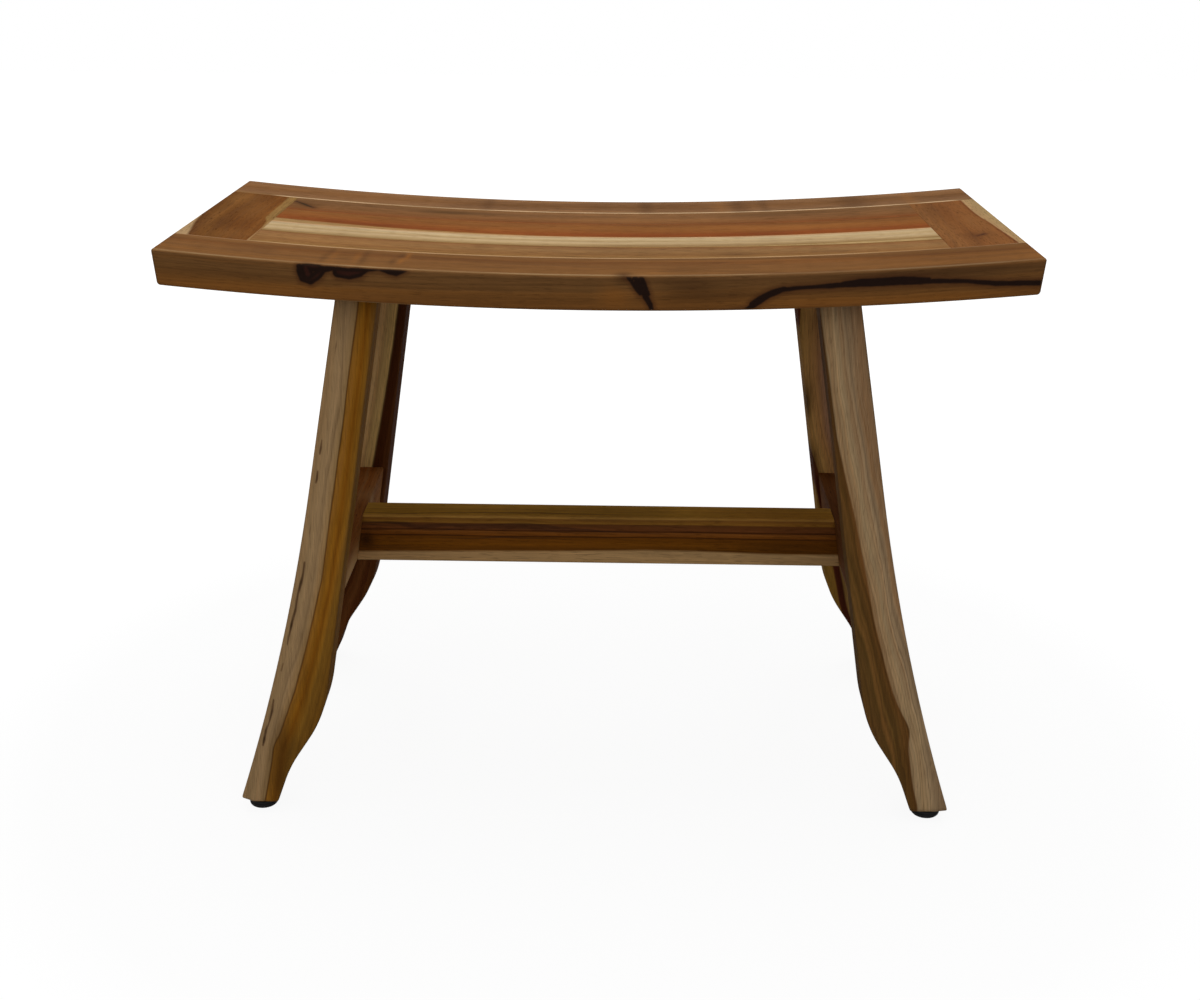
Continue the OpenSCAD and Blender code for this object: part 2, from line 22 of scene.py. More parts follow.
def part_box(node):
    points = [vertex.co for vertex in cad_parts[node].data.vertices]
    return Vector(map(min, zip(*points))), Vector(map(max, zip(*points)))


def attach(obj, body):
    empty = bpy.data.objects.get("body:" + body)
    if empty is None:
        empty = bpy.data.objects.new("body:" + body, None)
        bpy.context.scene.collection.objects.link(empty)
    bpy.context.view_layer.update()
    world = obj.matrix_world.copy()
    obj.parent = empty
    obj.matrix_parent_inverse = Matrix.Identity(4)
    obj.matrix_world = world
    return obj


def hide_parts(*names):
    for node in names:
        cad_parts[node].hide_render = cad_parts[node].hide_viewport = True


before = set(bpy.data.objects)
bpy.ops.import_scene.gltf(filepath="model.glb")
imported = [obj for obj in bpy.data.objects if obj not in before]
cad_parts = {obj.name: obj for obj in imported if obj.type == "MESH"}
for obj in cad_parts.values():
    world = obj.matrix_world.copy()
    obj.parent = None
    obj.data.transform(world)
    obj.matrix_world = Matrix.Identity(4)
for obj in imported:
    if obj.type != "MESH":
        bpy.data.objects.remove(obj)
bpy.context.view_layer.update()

bl_info = {
    "name": "Teak Shower Bench",
    "version": (1, 0, 0),
    "blender": (4, 5, 0),
    "location": "View3D > Sidebar > Bench",
    "description": "Detailed wood, metal and rubber pieces around the bench's CAD frame",
    "category": "Add Mesh",
}

MM = 0.001
BENCH = "bench"
CORNERS = {
    "front_left": (-1, -1),
    "front_right": (1, -1),
    "back_left": (-1, 1),
    "back_right": (1, 1),
}
SIDES = {"left": -1, "right": 1}

# Directions of probing rays, and how far outside the bench they start
UP, DOWN = (0, 0, 1), (0, 0, -1)
OUT, IN = (1, 0, 0), (-1, 0, 0)
BACK, FORTH = (0, 1, 0), (0, -1, 0)
FAR = 1000.0


# ---- Measuring the CAD frame ----

_surfaces = {}


def surface(node):
    """The CAD node's mesh as a tree that rays can be cast at."""
    if node not in _surfaces:
        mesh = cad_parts[node].data
        corners = [v.co for v in mesh.vertices]
        faces = [tuple(p.vertices) for p in mesh.polygons]
        _surfaces[node] = BVHTree.FromPolygons(corners, faces)
    return _surfaces[node]


def probe(node, start, direction):
    """Where a ray from start first meets the CAD node, all in millimetres."""
    hit = surface(node).ray_cast(Vector(start) * MM, Vector(direction))[0]
    if hit is None:
        raise RuntimeError(f"no surface of {node} lies ahead of {tuple(start)}")
    return hit / MM


def box(node):
    """Lowest and highest corner of a CAD node, in millimetres."""
    lo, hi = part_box(node)
    return lo / MM, hi / MM


class Seat:
    """The curved seat: its arc, its thickness and where its boards end."""

    def __init__(self):
        rail = "seat_front_rail"
        lo, hi = box(rail)
        y = (lo.y + hi.y) / 2
        reach = 0.95 * hi.x
        middle = probe(rail, (0, y, FAR), DOWN).z
        rise = probe(rail, (reach, y, FAR), DOWN).z - middle
        self.radius = (reach**2 + rise**2) / (2 * rise)
        self.axis_z = middle + self.radius
        self.thick = middle - probe(rail, (0, y, 0), UP).z
        self.half_len = hi.x
        self.back = box("seat_back_rail")[1].y
        self.panel_half = box("seat_right_end_board")[0].x
        depth = self.thick - 1
        self.end_slope = (hi.x - probe(rail, (FAR, y, hi.z - depth), IN).x) / depth

    def underside(self, x):
        """Height of the seat's underside at x."""
        return self.axis_z - np.sqrt((self.radius + self.thick) ** 2 - np.square(x))


class Leg:
    """The front right leg, which the other three mirror: its faces and its curved edges."""

    def __init__(self):
        node = "front_right_leg"
        lo, hi = box(node)
        self.foot_z, self.top_z = lo.z, hi.z
        low, high = 120.0, 340.0
        half_deep = 16
        faces = []
        for z in (low, high):
            y = lo.y + half_deep + (z - lo.z) / (hi.z - lo.z) * (hi.y - lo.y - 2 * half_deep)
            inner = probe(node, (0, y, z), OUT).x
            middle = (inner + probe(node, (FAR, y, z), IN).x) / 2
            faces.append([probe(node, (middle, -FAR, z), BACK).y, probe(node, (middle, 0, z), FORTH).y])
        self.lean = (faces[1][0] - faces[0][0]) / (high - low)
        self.face_at_floor = faces[0][0] - self.lean * low
        self.deep = faces[0][1] - faces[0][0]
        self.levels = np.linspace(lo.z + 0.5, hi.z - 4, 120)
        # Both edges are probed just behind the front face
        starts = [(z, self.face(z) + 0.6) for z in self.levels]
        self.inner = np.array([probe(node, (0, y, z), OUT).x for z, y in starts])
        self.outer = np.array([probe(node, (FAR, y, z), IN).x for z, y in starts])

    def face(self, z):
        """y of the front face at height z."""
        return self.face_at_floor + self.lean * z

    def gap(self, z):
        """Distance of the legs' facing surfaces from the bench's middle plane at height z."""
        return -(self.face(z) + self.deep)

    def edges(self, z):
        """x of the inner and outer edge at heights z, run on straight past both ends."""
        found = []
        for edge in (self.inner, self.outer):
            x = np.interp(z, self.levels, edge)
            top_slope = (edge[-1] - edge[-10]) / (self.levels[-1] - self.levels[-10])
            foot_slope = (edge[5] - edge[0]) / (self.levels[5] - self.levels[0])
            x = x + np.maximum(z - self.levels[-1], 0) * top_slope
            found.append(x + np.minimum(z - self.levels[0], 0) * foot_slope)
        return found


class Foot:
    """A levelling foot, measured on the front right one."""

    def __init__(self):
        lo, hi = box("front_right_pad")
        self.x, self.y = (lo.x + hi.x) / 2, (lo.y + hi.y) / 2
        self.pad_r, self.pad_top = (hi.x - lo.x) / 2, hi.z
        stem = "front_right_stem"
        stem_lo, stem_hi = box(stem)
        self.disc_bottom, self.stem_top = stem_lo.z, stem_hi.z
        self.collar_r = (stem_hi.x - stem_lo.x) / 2
        # A line beside the shank that meets the collar and the disc
        x, between = self.x + 0.72 * self.collar_r, self.pad_top - 1
        self.collar_top = probe(stem, (x, self.y, FAR), DOWN).z
        self.collar_bottom = probe(stem, (x, self.y, between), UP).z
        self.disc_top = probe(stem, (x, self.y, between), DOWN).z
        self.stem_r = probe(stem, (FAR, self.y, self.stem_top - 3), IN).x - self.x
        insert_lo, insert_hi = box("foot_inserts")
        self.insert_bottom, self.insert_top = insert_lo.z, insert_hi.z
        self.insert_r = insert_hi.x - self.x

    def centre(self, corner):
        """(x, y) of the foot at that corner of the bench."""
        side, end_way = CORNERS[corner]
        return side * self.x, -end_way * self.y


class Cleat:
    """The right cleat under the seat: its width, thickness and tilt, and its underside's middle."""

    def __init__(self):
        node = "right_cleat"
        lo, hi = box(node)
        self.x = (lo.x + hi.x) / 2
        y_clear = 0.42 * hi.y
        apart = 12
        near, far = [probe(node, (self.x + dx, y_clear, 0), UP).z for dx in (-apart, apart)]
        self.bottom = (near + far) / 2
        self.slope = (far - near) / (2 * apart)
        self.tilt = math.atan(self.slope)
        self.thick = (probe(node, (self.x, y_clear, FAR), DOWN).z - self.bottom) * math.cos(self.tilt)
        self.width = (hi.x - lo.x - self.thick * math.sin(self.tilt)) / math.cos(self.tilt)


SEAT = Seat()
LEG = Leg()
FOOT = Foot()
CLEAT = Cleat()


# ---- Colours ----


def to_linear(code):
    """Linear RGBA of an sRGB hex colour such as "#8a5d3b"."""
    channels = [int(code[i : i + 2], 16) / 255 for i in (1, 3, 5)]
    linear = [c / 12.92 if c <= 0.04045 else ((c + 0.055) / 1.055) ** 2.4 for c in channels]
    return (*linear, 1.0)


# ---- Figure of the wood ----

# How far off a mark is still measured, and over what length the rings smooth the figure line's bends
MARK_REACH = 60.0
CALM_REACH = 60.0
# The axis along which a mark goes on into the wood, and how much more a distance that way counts
INTO_ACROSS = 1
INTO_DEPTH = 2
INTO_WEIGHT = 4.0


@dataclass
class Wood:
    """What one wooden piece shows. Places are millimetres along, across and into its grain."""

    # (flow, colour) stops across the figure line, and points (along, across) of that line
    ramp: list
    line: tuple = ((0, 0),)
    # How much the depth counts towards the flow
    skew: float = 0.0
    # The tree's pith: across, depth, and its drift across in a metre along; gap between growth rings
    pith: tuple = (20, 90, 40)
    ring: float = 3.6
    # Knots and streaks, from edge_mark and face_mark
    marks: tuple = ()
    # Soft patches: along, across, depth, the three radii, and how much lighter
    tones: tuple = ()
    # Painted highlights, thin pale lines along the edges and seams where the eased edges catch the light:
    # across, width, colour, first and last along
    painted_highlights: tuple = ()
    # How strongly rings, broad streaks, mineral streaks and pores show
    lines: float = 0.35
    streaks: float = 0.5
    mineral: float = 0.0
    pores: float = 1.0
    # How far the figure strays, and how far its line is rounded
    wander: float = 2.0
    smooth: float = 12.0
    # Width of the red-brown rim round the marks
    rim: float = 5.0
    # How far above the line the flow still follows its bends, where that isn't everywhere
    reach: float = None
    # Colours of pale streaks, of dark streaks and pores, and of the marks where it isn't the usual one
    glow: str = "#a8703a"
    deep: str = "#3c2415"
    stain: str = None
    # Shift of this piece's noises
    seed: int = 0

    def figure_line(self, along, reach):
        """Where the figure line runs, rounded over that reach on both sides."""
        points = sorted(self.line)
        if len(points) == 1:
            return np.full_like(along, points[0][1])
        a, c = np.array(points, float).T
        shifts = np.linspace(-reach, reach, 9)
        return np.mean([np.interp(along + s, a, c) for s in shifts], axis=0)

    def mark_distance(self, grain):
        """Distance to the nearest knot or streak, negative inside it."""
        nearest = np.full(len(grain), MARK_REACH)
        for into, chain in self.marks:
            stretch = np.array([1.0, 1.0, 1.0])
            stretch[into] = INTO_WEIGHT
            spots = np.array(chain, float)
            for start, stop in zip(spots, spots[1:]):
                p = start[:3] * stretch
                run = stop[:3] * stretch - p
                t = np.clip(((grain * stretch - p) @ run) / (run @ run), 0, 1)
                radius = start[3] + (stop[3] - start[3]) * t
                gap = np.linalg.norm(grain * stretch - p - t[:, None] * run, axis=1) - radius
                nearest = np.minimum(nearest, gap)
        return nearest

    def tone(self, grain):
        """Sum of the soft patches, positive where lighter."""
        total = np.zeros(len(grain))
        for patch in self.tones:
            away = (grain - np.array(patch[:3])) / np.array(patch[3:6])
            total += patch[6] * np.exp(-np.sum(away**2, axis=1))
        return np.clip(total, -1, 1)

    def figure(self, grain):
        """(flow, ring, mark) of points given as (along, across, depth)."""
        along, across, depth = grain.T
        line = self.figure_line(along, self.smooth)
        calm = self.figure_line(along, CALM_REACH)
        if self.reach is not None:
            follow = np.clip(1 - (across - line) / self.reach, 0, 1)
            line = follow * line + (1 - follow) * np.mean([spot[1] for spot in self.line])
        flow = across - line - self.skew * depth
        pith_across, pith_depth, drift = self.pith
        ring = np.hypot(across - calm - pith_across + along * drift / 1000, depth - pith_depth)
        return np.stack([flow, ring, self.mark_distance(grain)], axis=1)


def edge_mark(*spots):
    """A knot or streak on a board's front edge, as spots of (along, depth, radius)."""
    return INTO_ACROSS, [(along, 0, depth, radius) for along, depth, radius in spots]


def face_mark(*spots):
    """A knot or streak on a piece's outer face, as spots of (along, across, radius)."""
    return INTO_DEPTH, [(along, across, 0, radius) for along, across, radius in spots]


FRONT_RAIL = Wood(
    ramp=[(-25, "#8b5929"), (-17, "#8c5c2c"), (-9, "#885e33"), (-2, "#835b33"), (1, "#8f6237"),
          (6, "#8d6033"), (20, "#85592f"), (30, "#8a5d32"), (42, "#7e5028"), (50, "#875b30"),
          (59, "#8a5f36")],
    skew=1.0, pith=(26, 130, 60), ring=4.2, mineral=0.15, rim=4.0, pores=0.5,
    glow="#a9692a", deep="#452a17",
    painted_highlights=[(58.8, 1.9, "#c8a078", -400, 400), (1.6, 1.1, "#a8855c", -400, 400)],
    marks=[
        # The hooked knot on the left, and the thin streak and the second knot right of it
        edge_mark((-203.5, 0.5, 1.6), (-204, 6, 1.9), (-201.5, 11, 2.3), (-196.5, 12.3, 2.6),
                  (-191.5, 8, 3.0), (-187, 3.5, 2.2), (-180, 2.2, 1.6)),
        edge_mark((-199.5, 3, 3.6), (-198, 7.5, 4.0)),
        edge_mark((-197, 1.5, 3.2), (-191, 2.5, 2.8)),
        edge_mark((-203.5, 0.5, 1.0), (-190, 0.8, 1.0), (-160, 0.6, 0.8), (-130, 0.7, 0.8)),
        edge_mark((-177, 4.8, 3.9), (-170, 5.4, 4.0), (-163, 4.2, 3.4), (-157, 2.0, 1.3),
                  (-149, 1.4, 0.9), (-142, 2.2, 2.2), (-137.5, 2.8, 2.4), (-130, 0.8, 0.8)),
        # The slanting wedge in the middle
        edge_mark((20.5, 0.3, 1.2), (25, 6, 1.7), (29.5, 12.5, 1.5)),
        edge_mark((25.5, 0.3, 1.7), (29.5, 8, 2.0), (33, 14, 2.1), (36.4, 20, 1.9), (38.5, 27, 1.1)),
        edge_mark((30, 1.0, 1.7), (33, 8, 1.6), (35, 13, 1.5)),
        # The long dark streak on the right, and where it is thickest
        edge_mark((86, 27, 0.8), (101.8, 24.8, 1.2), (106, 22.4, 1.8), (118, 14.6, 1.9),
                  (126.3, 11.3, 1.7), (136, 10.2, 1.4), (151, 9.8, 1.4), (170, 9.2, 1.8),
                  (184, 9.3, 2.0), (209, 9.3, 2.0), (228, 9.9, 1.8), (248.7, 11, 1.4), (270, 14, 1.7),
                  (306, 16.8, 2.0)),
        edge_mark((106, 20.4, 1.7), (112, 16.6, 1.9), (119, 12.8, 1.8), (128, 10, 1.2)),
        edge_mark((168, 8, 1.2), (178, 7.4, 1.9), (209, 7.4, 1.9), (226, 8.4, 1.4)),
    ],
    tones=[(12, 0, 15, 11, 20, 9, 0.5), (62, 0, 7, 16, 20, 8, -0.35), (-199, 0, 5, 4, 8, 5, -0.75),
           (18, 0, 1, 6, 12, 5, -0.65), (150, 0, 21, 60, 20, 5, 0.35), (250, 0, 22, 60, 20, 5, 0.3),
           (80, 0, 14, 24, 20, 9, -0.2), (230, 0, 4, 70, 6, 5, -0.35), (-240, 0, 21, 60, 12, 6, 0.3),
           (-190.5, 20, 0, 2.4, 16, 9, -0.3), (-188.5, 44, 0, 2.4, 16, 9, -0.2),
           (-185, 30, 0, 2.4, 20, 9, 0.2), (-163.5, 22, 0, 2.4, 16, 9, -0.35),
           (-164, 44, 0, 2.4, 14, 9, -0.25), (-168.5, 30, 0, 2.4, 18, 9, 0.25),
           (-143, 24, 0, 2.2, 11, 9, -0.38), (-139, 44, 0, 2.2, 12, 9, -0.32),
           (-137.6, 26, 0, 1.8, 10, 9, 0.5), (-134.6, 44, 0, 1.8, 12, 9, 0.45),
           (250, 35, 0, 70, 30, 9, -0.25), (200, 0, 4, 160, 8, 30, -0.22),
           (-60, 0, 20, 90, 8, 9, -0.12), (290, 0, 22, 26, 20, 6, -0.25),
           (-262, 0, 10, 60, 12, 14, -0.12)],
    seed=1,
)
BACK_RAIL = Wood(
    ramp=[(0, "#906c45"), (10, "#8f6745"), (30, "#845a34"), (48, "#916844"), (59, "#977250")],
    skew=-0.4, pith=(30, -110, -50), ring=3.8, lines=0.3, painted_highlights=[(0.8, 3.0, "#e3bf95", -268, 290)],
    tones=[(-97, 30, 0, 6, 60, 9, -0.3), (65, 35, 0, 36, 40, 9, -0.2), (-205, 20, 0, 60, 30, 9, 0.2),
           (36, 30, 0, 6, 60, 9, -0.3), (98, 30, 0, 9, 60, 9, 0.3), (114, 30, 0, 9, 60, 9, -0.35),
           (135, 30, 0, 4, 60, 9, -0.3), (209, 30, 0, 12, 60, 9, -0.35), (255, 30, 0, 5, 60, 9, 0.3)],
    seed=2,
)
LEFT_END_BOARD = Wood(
    ramp=[(-60, "#94703e"), (-51, "#9c7742"), (-49, "#7b4819"), (-30, "#74451a"), (-12, "#7e5021"),
          (-1.5, "#653a15"), (0.5, "#c3a073"), (12, "#cbaa7e")],
    line=((-93, 44), (-60, 48.5), (-35, 51.5), (-14, 53), (-5, 57), (93, 57.5)), smooth=5,
    pith=(10, 60, 80), ring=4.5, lines=0.15, painted_highlights=[(0.4, 1.2, "#b48c5c", -400, -14)],
    deep="#4a2a16", glow="#a5723c",
    tones=[(20, 20, 0, 40, 12, 12, 0.25), (-40, 34, 0, 30, 10, 12, -0.25), (70, 40, 0, 26, 14, 12, 0.3),
           (-75, 16, 0, 20, 14, 12, 0.25)],
    seed=3,
)
RIGHT_END_BOARD = Wood(
    ramp=[(-53, "#824e26"), (-40, "#8f5e33"), (-22, "#855229"), (-3, "#8d592e"), (-0.6, "#76411f"),
          (0.6, "#b89265"), (8, "#b29465")],
    line=((-93, 47.9), (-53, 46.2), (-19, 44.4), (19, 41.6), (58, 41.9), (93, 42.7)),
    pith=(0, 70, -60), ring=4.0, lines=0.18,
    marks=[face_mark((-57, 26, 0.2), (-54, 30, 0.6), (-51, 32, 0.1))],
    tones=[(-55, 28, 0, 16, 12, 12, -0.3), (50, 10, 0, 40, 14, 12, -0.25), (0, 30, 0, 40, 12, 12, 0.2)],
    seed=4,
)
BROWN_STRIP = Wood(
    ramp=[(0, "#8c4e26"), (6, "#845029"), (20, "#8c5e36"), (36, "#855c38"), (52, "#8e643d")],
    pith=(30, 80, 50), ring=4.4, lines=0.3, glow="#a57444", deep="#4a3216", stain="#3c2d18",
    marks=[face_mark((-250, 36, 0.8), (-244, 29, 1.4), (-237, 20, 1.5), (-231, 13, 0.6))],
    tones=[(-125, 34, 0, 30, 10, 12, -0.5), (-240, 22, 0, 14, 14, 12, -0.4),
           (150, 40, 0, 60, 8, 12, -0.4), (20, 20, 0, 90, 12, 12, 0.2)],
    seed=5,
)
RED_STRIP = Wood(
    ramp=[(-14, "#bb9763"), (-1, "#b48f5a"), (-0.2, "#b98c58"), (1.2, "#8f4f22"), (9, "#934b20"),
          (22, "#995c2b"), (38, "#935e2e"), (54, "#875329")],
    line=((-251, 13), (-190, 8), (-110, 3.5), (-30, 0.6), (60, 0), (251, 0)),
    pith=(20, 110, 70), ring=4.6, lines=0.25, glow="#ad6c34", deep="#5e3018",
    tones=[(95, 44, 0, 24, 6, 12, 0.4), (-190, 12, 0, 70, 10, 12, -0.25), (150, 30, 0, 60, 9, 12, 0.3)],
    seed=6,
)
CREAM_STRIP = Wood(
    ramp=[(0, "#9c7947"), (3, "#a9895c"), (9, "#c5a676"), (16, "#d1b488"), (22, "#c7a878"),
          (30, "#d5ba8e"), (36.5, "#d1b186"), (38, "#e4c79c")],
    pith=(10, 60, 40), ring=3.4, lines=0.4, streaks=0.4, deep="#8a6238", glow="#dcc094",
    painted_highlights=[(37.4, 1.7, "#cf9468", -400, 400)],
    tones=[(60, 6, 0, 100, 4, 12, -0.4), (-120, 20, 0, 120, 3, 12, -0.25),
           (140, 16, 0, 90, 3, 12, -0.3)],
    seed=7,
)
TAN_STRIP = Wood(
    ramp=[(0, "#9c7341"), (12, "#96693c"), (26, "#9e7548"), (38, "#966a41"), (41.5, "#855a30"),
          (42.6, "#a57e4d"), (44.5, "#bf9e6a"), (54, "#c4a471")],
    line=((-251, 0), (60, 0), (150, -4), (251, -9)),
    pith=(24, 70, 60), ring=3.8, mineral=0.1, painted_highlights=[(0.7, 1.2, "#c39a68", -400, 400)],
    tones=[(100, 12, 0, 14, 8, 12, -0.35), (-180, 30, 0, 60, 9, 12, 0.25)],
    seed=8,
)
FRONT_LEFT_LEG = Wood(
    ramp=[(-30, "#7b511a"), (-14, "#996b25"), (-10.5, "#a46c1d"), (-8, "#995e14"), (-5, "#b07420"),
          (-1.4, "#a77127"), (-0.4, "#5a3a14"), (0.6, "#ae8a5b"), (6, "#c19c6f"), (12, "#b89569"),
          (24, "#b08a5e")],
    line=((395.7, 169.7), (221.9, 198), (192.5, 202.7), (146.6, 214.8), (103.1, 226.8), (81.8, 234.2),
          (66.6, 239.6), (59, 244), (52.7, 245.8), (44.7, 246.8), (24.7, 250.8), (6.5, 255)),
    pith=(-60, 40, 0), ring=4.0, lines=0.2, streaks=0.6, wander=1.0, smooth=4, rim=1.1,
    pores=0.35, deep="#4c3114", stain="#2e1e0c",
    # Fine slits along the sapwood
    marks=[face_mark((371, 185.2, -0.6), (366, 186, -0.3), (356, 188, -0.6)),
           face_mark((297.5, 198.6, -0.2), (291, 199.7, 0.25), (287, 200.5, 0.0)),
           face_mark((274, 202.6, 0.0), (268, 203.5, 0.25), (265.5, 204.2, 0.0)),
           face_mark((236, 208.8, -0.8), (229, 210, -0.5), (222, 211, -0.8)),
           face_mark((205, 215, -0.1), (194, 216.9, 0.35), (188, 218.5, 0.6), (180, 220.9, 0.2),
                     (172, 222.6, 0.1), (167, 223.5, 0.3), (157, 226.4, 0.4), (146, 229.3, 0.2),
                     (139, 230.7, -0.3)),
           face_mark((125, 234.4, -0.2), (118.5, 236.2, 0.0)),
           face_mark((95, 243, 0.0), (85, 244.8, 0.3), (77, 247, -0.1), (70, 250, 0.3),
                     (62, 251.8, 0.5), (57, 253, 0.0))],
    tones=[(60, 236, 0, 24, 9, 30, -0.5), (25, 242, 0, 30, 8, 30, -0.6),
           (110, 218, 0, 30, 5, 30, -0.25)],
    seed=9,
)
FRONT_RIGHT_LEG = Wood(
    ramp=[(-34, "#6f4c25"), (-12, "#725327"), (-3, "#6f4c22"), (-0.5, "#5b3c1a"), (0.8, "#ba9c74"),
          (7, "#c9a97d"), (14, "#ba9b75"), (22, "#a78764"), (32, "#9c7956")],
    line=((399.4, 156.1), (305.1, 172.8), (272.6, 181.1), (243.4, 189.3), (203, 198.9), (163.3, 207.8),
          (146.6, 212.8), (128.5, 217.8), (109.3, 223.9), (95.3, 229.7), (83.4, 236.5), (76.9, 239.4),
          (71.4, 238.9), (62.6, 238.6), (47.2, 241.2), (30.5, 244.3), (13.8, 248.9)),
    pith=(-70, 50, 0), ring=1.9, lines=0.65, streaks=0.95, wander=0.6, smooth=4,
    pores=0.45, deep="#624324", seed=10,
)
# The back legs' colours are set lighter than their wood, to make up for the seat's shade on them: painted
# light
BACK_LEFT_LEG = Wood(
    ramp=[(-40, "#704a1e"), (-22, "#643414"), (-8, "#562c10"), (-1.5, "#4e260c"), (-0.4, "#6b5030"),
          (1, "#e6bc74"), (7, "#cda669"), (12, "#f1c384"), (17, "#ad895a"), (30, "#c59a66")],
    line=((405, 161.5), (395, 162.7), (304, 179.1), (250, 190), (200, 201), (150, 213), (100, 229),
          (60, 246), (10, 262)),
    pith=(-50, 60, 0), ring=3.4, lines=0.3, streaks=0.6, mineral=0.15, wander=1.0, pores=0.5, deep="#3c1e0c",
    seed=11,
)
# Also set lighter than its wood, to make up for the seat's shade: painted light
BACK_RIGHT_LEG = Wood(
    ramp=[(-40, "#b08634"), (-7, "#a87c34"), (-5.5, "#5c2616"), (-1, "#562214"), (0.6, "#b08648"),
          (6, "#d6a45e"), (14, "#c9935a"), (20, "#b38566"), (30, "#c99a5b")],
    line=((405, 159.5), (352, 167.5), (320, 167), (290, 169), (262, 173.5), (230, 178.5), (212, 187),
          (190, 194), (108, 215.5), (63, 225.5), (10, 250)),
    tones=[(262, 177, 33, 22, 5, 30, -0.8), (210, 186, 33, 14, 5, 30, -0.5),
           (340, 179, 33, 18, 5, 30, -0.35), (95, 223, 33, 45, 7, 30, -0.45)],
    pith=(-50, 60, 0), ring=3.4, lines=0.3, streaks=0.6, mineral=0.15, wander=0.6, pores=0.5,
    deep="#3a2410", seed=16,
)
LEFT_SIDE_STRETCHER = Wood(
    ramp=[(-20, "#c79a5c"), (-12, "#a86a2c"), (4, "#a26124"), (20, "#925622")],
    tones=[(-62, -14, 0, 52, 13, 12, 0.8), (32, 10, 0, 16, 9, 12, 0.6)],
    pith=(0, 60, 40), ring=3.6, lines=0.3, mineral=0.25, glow="#e2b67c", seed=12,
)
RIGHT_SIDE_STRETCHER = Wood(
    ramp=[(-20, "#a07a4c"), (-12, "#7c4c24"), (4, "#77461c"), (20, "#6d401c")],
    pith=(0, 60, 40), ring=3.6, lines=0.3, mineral=0.25, seed=12,
)
# The stops of its top and upper front face are lighter than the wood, to make up for the shade under the
# seat: painted light
CENTRE_STRETCHER = Wood(
    ramp=[(-16, "#c69b65"), (-1.5, "#cba26e"), (-0.3, "#a67d4c"), (0.6, "#673c0b"), (5, "#804b0b"),
          (11.2, "#75430d"), (12.2, "#47240b"), (13.4, "#8a4f18"), (16.2, "#8a5220"), (17.1, "#4a250c"),
          (18.6, "#7e4923"), (23, "#6b401d"), (24, "#a16f2a"), (27.2, "#835620"), (28.4, "#bd8c3f"),
          (29.8, "#af8038"), (31.2, "#b7862e"), (46, "#daa748")],
    line=((-200, 8), (-120, 9.6), (-30, 10.6), (37, 12.4), (90, 12.2), (140, 10.8), (195, 10.4)),
    pith=(40, 60, 30), ring=4.0, mineral=0.5, wander=1.0, reach=12, pores=0.6,
    glow="#96591c", deep="#2a130a",
    tones=[(150, 16, 32, 44, 4, 30, -0.45), (-60, 14, 32, 90, 4, 30, 0.2),
           (-189, 18, 32, 7, 7, 30, -0.8), (20, 46, 16, 70, 12, 40, -0.3),
           (130, 46, 16, 80, 12, 40, 0.3)],
    seed=13,
)
CLEAT_WOOD = Wood(ramp=[(0, "#85592f"), (20, "#94683a"), (44, "#7d5430")], pith=(20, 60, 50), seed=14)
PLUG_WOOD = Wood(ramp=[(-6, "#9b7142"), (6, "#8a6237")], pith=(0, 60, 0), ring=2.4, lines=0.5, seed=15)


# ---- Node helpers ----

MATH = "ShaderNodeMath"
VECTOR_MATH = "ShaderNodeVectorMath"
MAP_RANGE = "ShaderNodeMapRange"
SEPARATE = "ShaderNodeSeparateXYZ"
COMBINE = "ShaderNodeCombineXYZ"
SMOOTH = {"interpolation_type": "SMOOTHSTEP"}


def fill(tree, node, sockets):
    """Sets a node's inputs, in order or by name, to values or to what other nodes give."""
    inputs = sockets if isinstance(sockets, dict) else dict(enumerate(sockets))
    for key, value in inputs.items():
        if isinstance(value, bpy.types.Node):
            value = next(output for output in value.outputs if output.enabled)
        if isinstance(value, bpy.types.NodeSocket):
            tree.links.new(value, node.inputs[key])
        else:
            node.inputs[key].default_value = value


def add(tree, kind, sockets=(), **settings):
    """Adds a node to the tree with its settings, and fills its inputs."""
    node = tree.nodes.new(kind)
    for name, value in settings.items():
        setattr(node, name, value)
    fill(tree, node, sockets)
    return node


def ramp(tree, value, stops):
    """Colours that follow the value; a stop is (value, hex colour or grey)."""
    first, last = stops[0][0], stops[-1][0]
    node = add(tree, "ShaderNodeValToRGB", [add(tree, MAP_RANGE, (value, first, last))])
    elements = node.color_ramp.elements
    elements.remove(elements[-1])
    for i, (position, tint) in enumerate(stops):
        place = (position - first) / (last - first)
        element = elements[0] if i == 0 else elements.new(place)
        element.position = place
        element.color = to_linear(tint) if isinstance(tint, str) else (tint, tint, tint, 1)
    return node


def weigh(tree, start, *parts):
    """start plus each part's value times its weight; a part is (weight, value)."""
    for weight, value in parts:
        start = add(tree, MATH, (value, weight, start), operation="MULTIPLY_ADD")
    return start


def coat(tree, colour, *coats):
    """Lays coats over the colour, one after another; a coat is (strength, share, hex colour)."""
    for strength, share, code in coats:
        cover = add(tree, MATH, (share, strength), operation="MULTIPLY", use_clamp=True)
        colour = add(tree, "ShaderNodeMix", {0: cover, 6: colour, 7: to_linear(code)}, data_type="RGBA")
    return colour


def new_material(name, **values):
    """A material with an empty tree, its Principled shader and the values of the shader's sockets."""
    material = bpy.data.materials.new(name)
    material.use_nodes = True
    tree = material.node_tree
    tree.nodes.clear()
    shader = add(tree, "ShaderNodeBsdfPrincipled", values)
    add(tree, "ShaderNodeOutputMaterial", {"Surface": shader.outputs[0]})
    return material, tree, shader


# ---- Materials ----

# Colours of teak that all its pieces share
MINERAL = "#35211a"
MARK_RIM = "#55301c"
MARK_CORE = "#44241b"
END_GRAIN = "#4a2d17"
# Colour of the rounded edges: lighter by wear, and a painted highlight where they catch the light
WEAR_AND_PAINTED_HIGHLIGHT = "#c49a68"

# How dark a growth ring is across its width: dense late wood, then ever more open wood
RING_PROFILE = [(0.0, 0.9), (0.1, 0.35), (0.3, 0.06), (0.75, 0.0), (0.93, 0.4), (1.0, 0.9)]


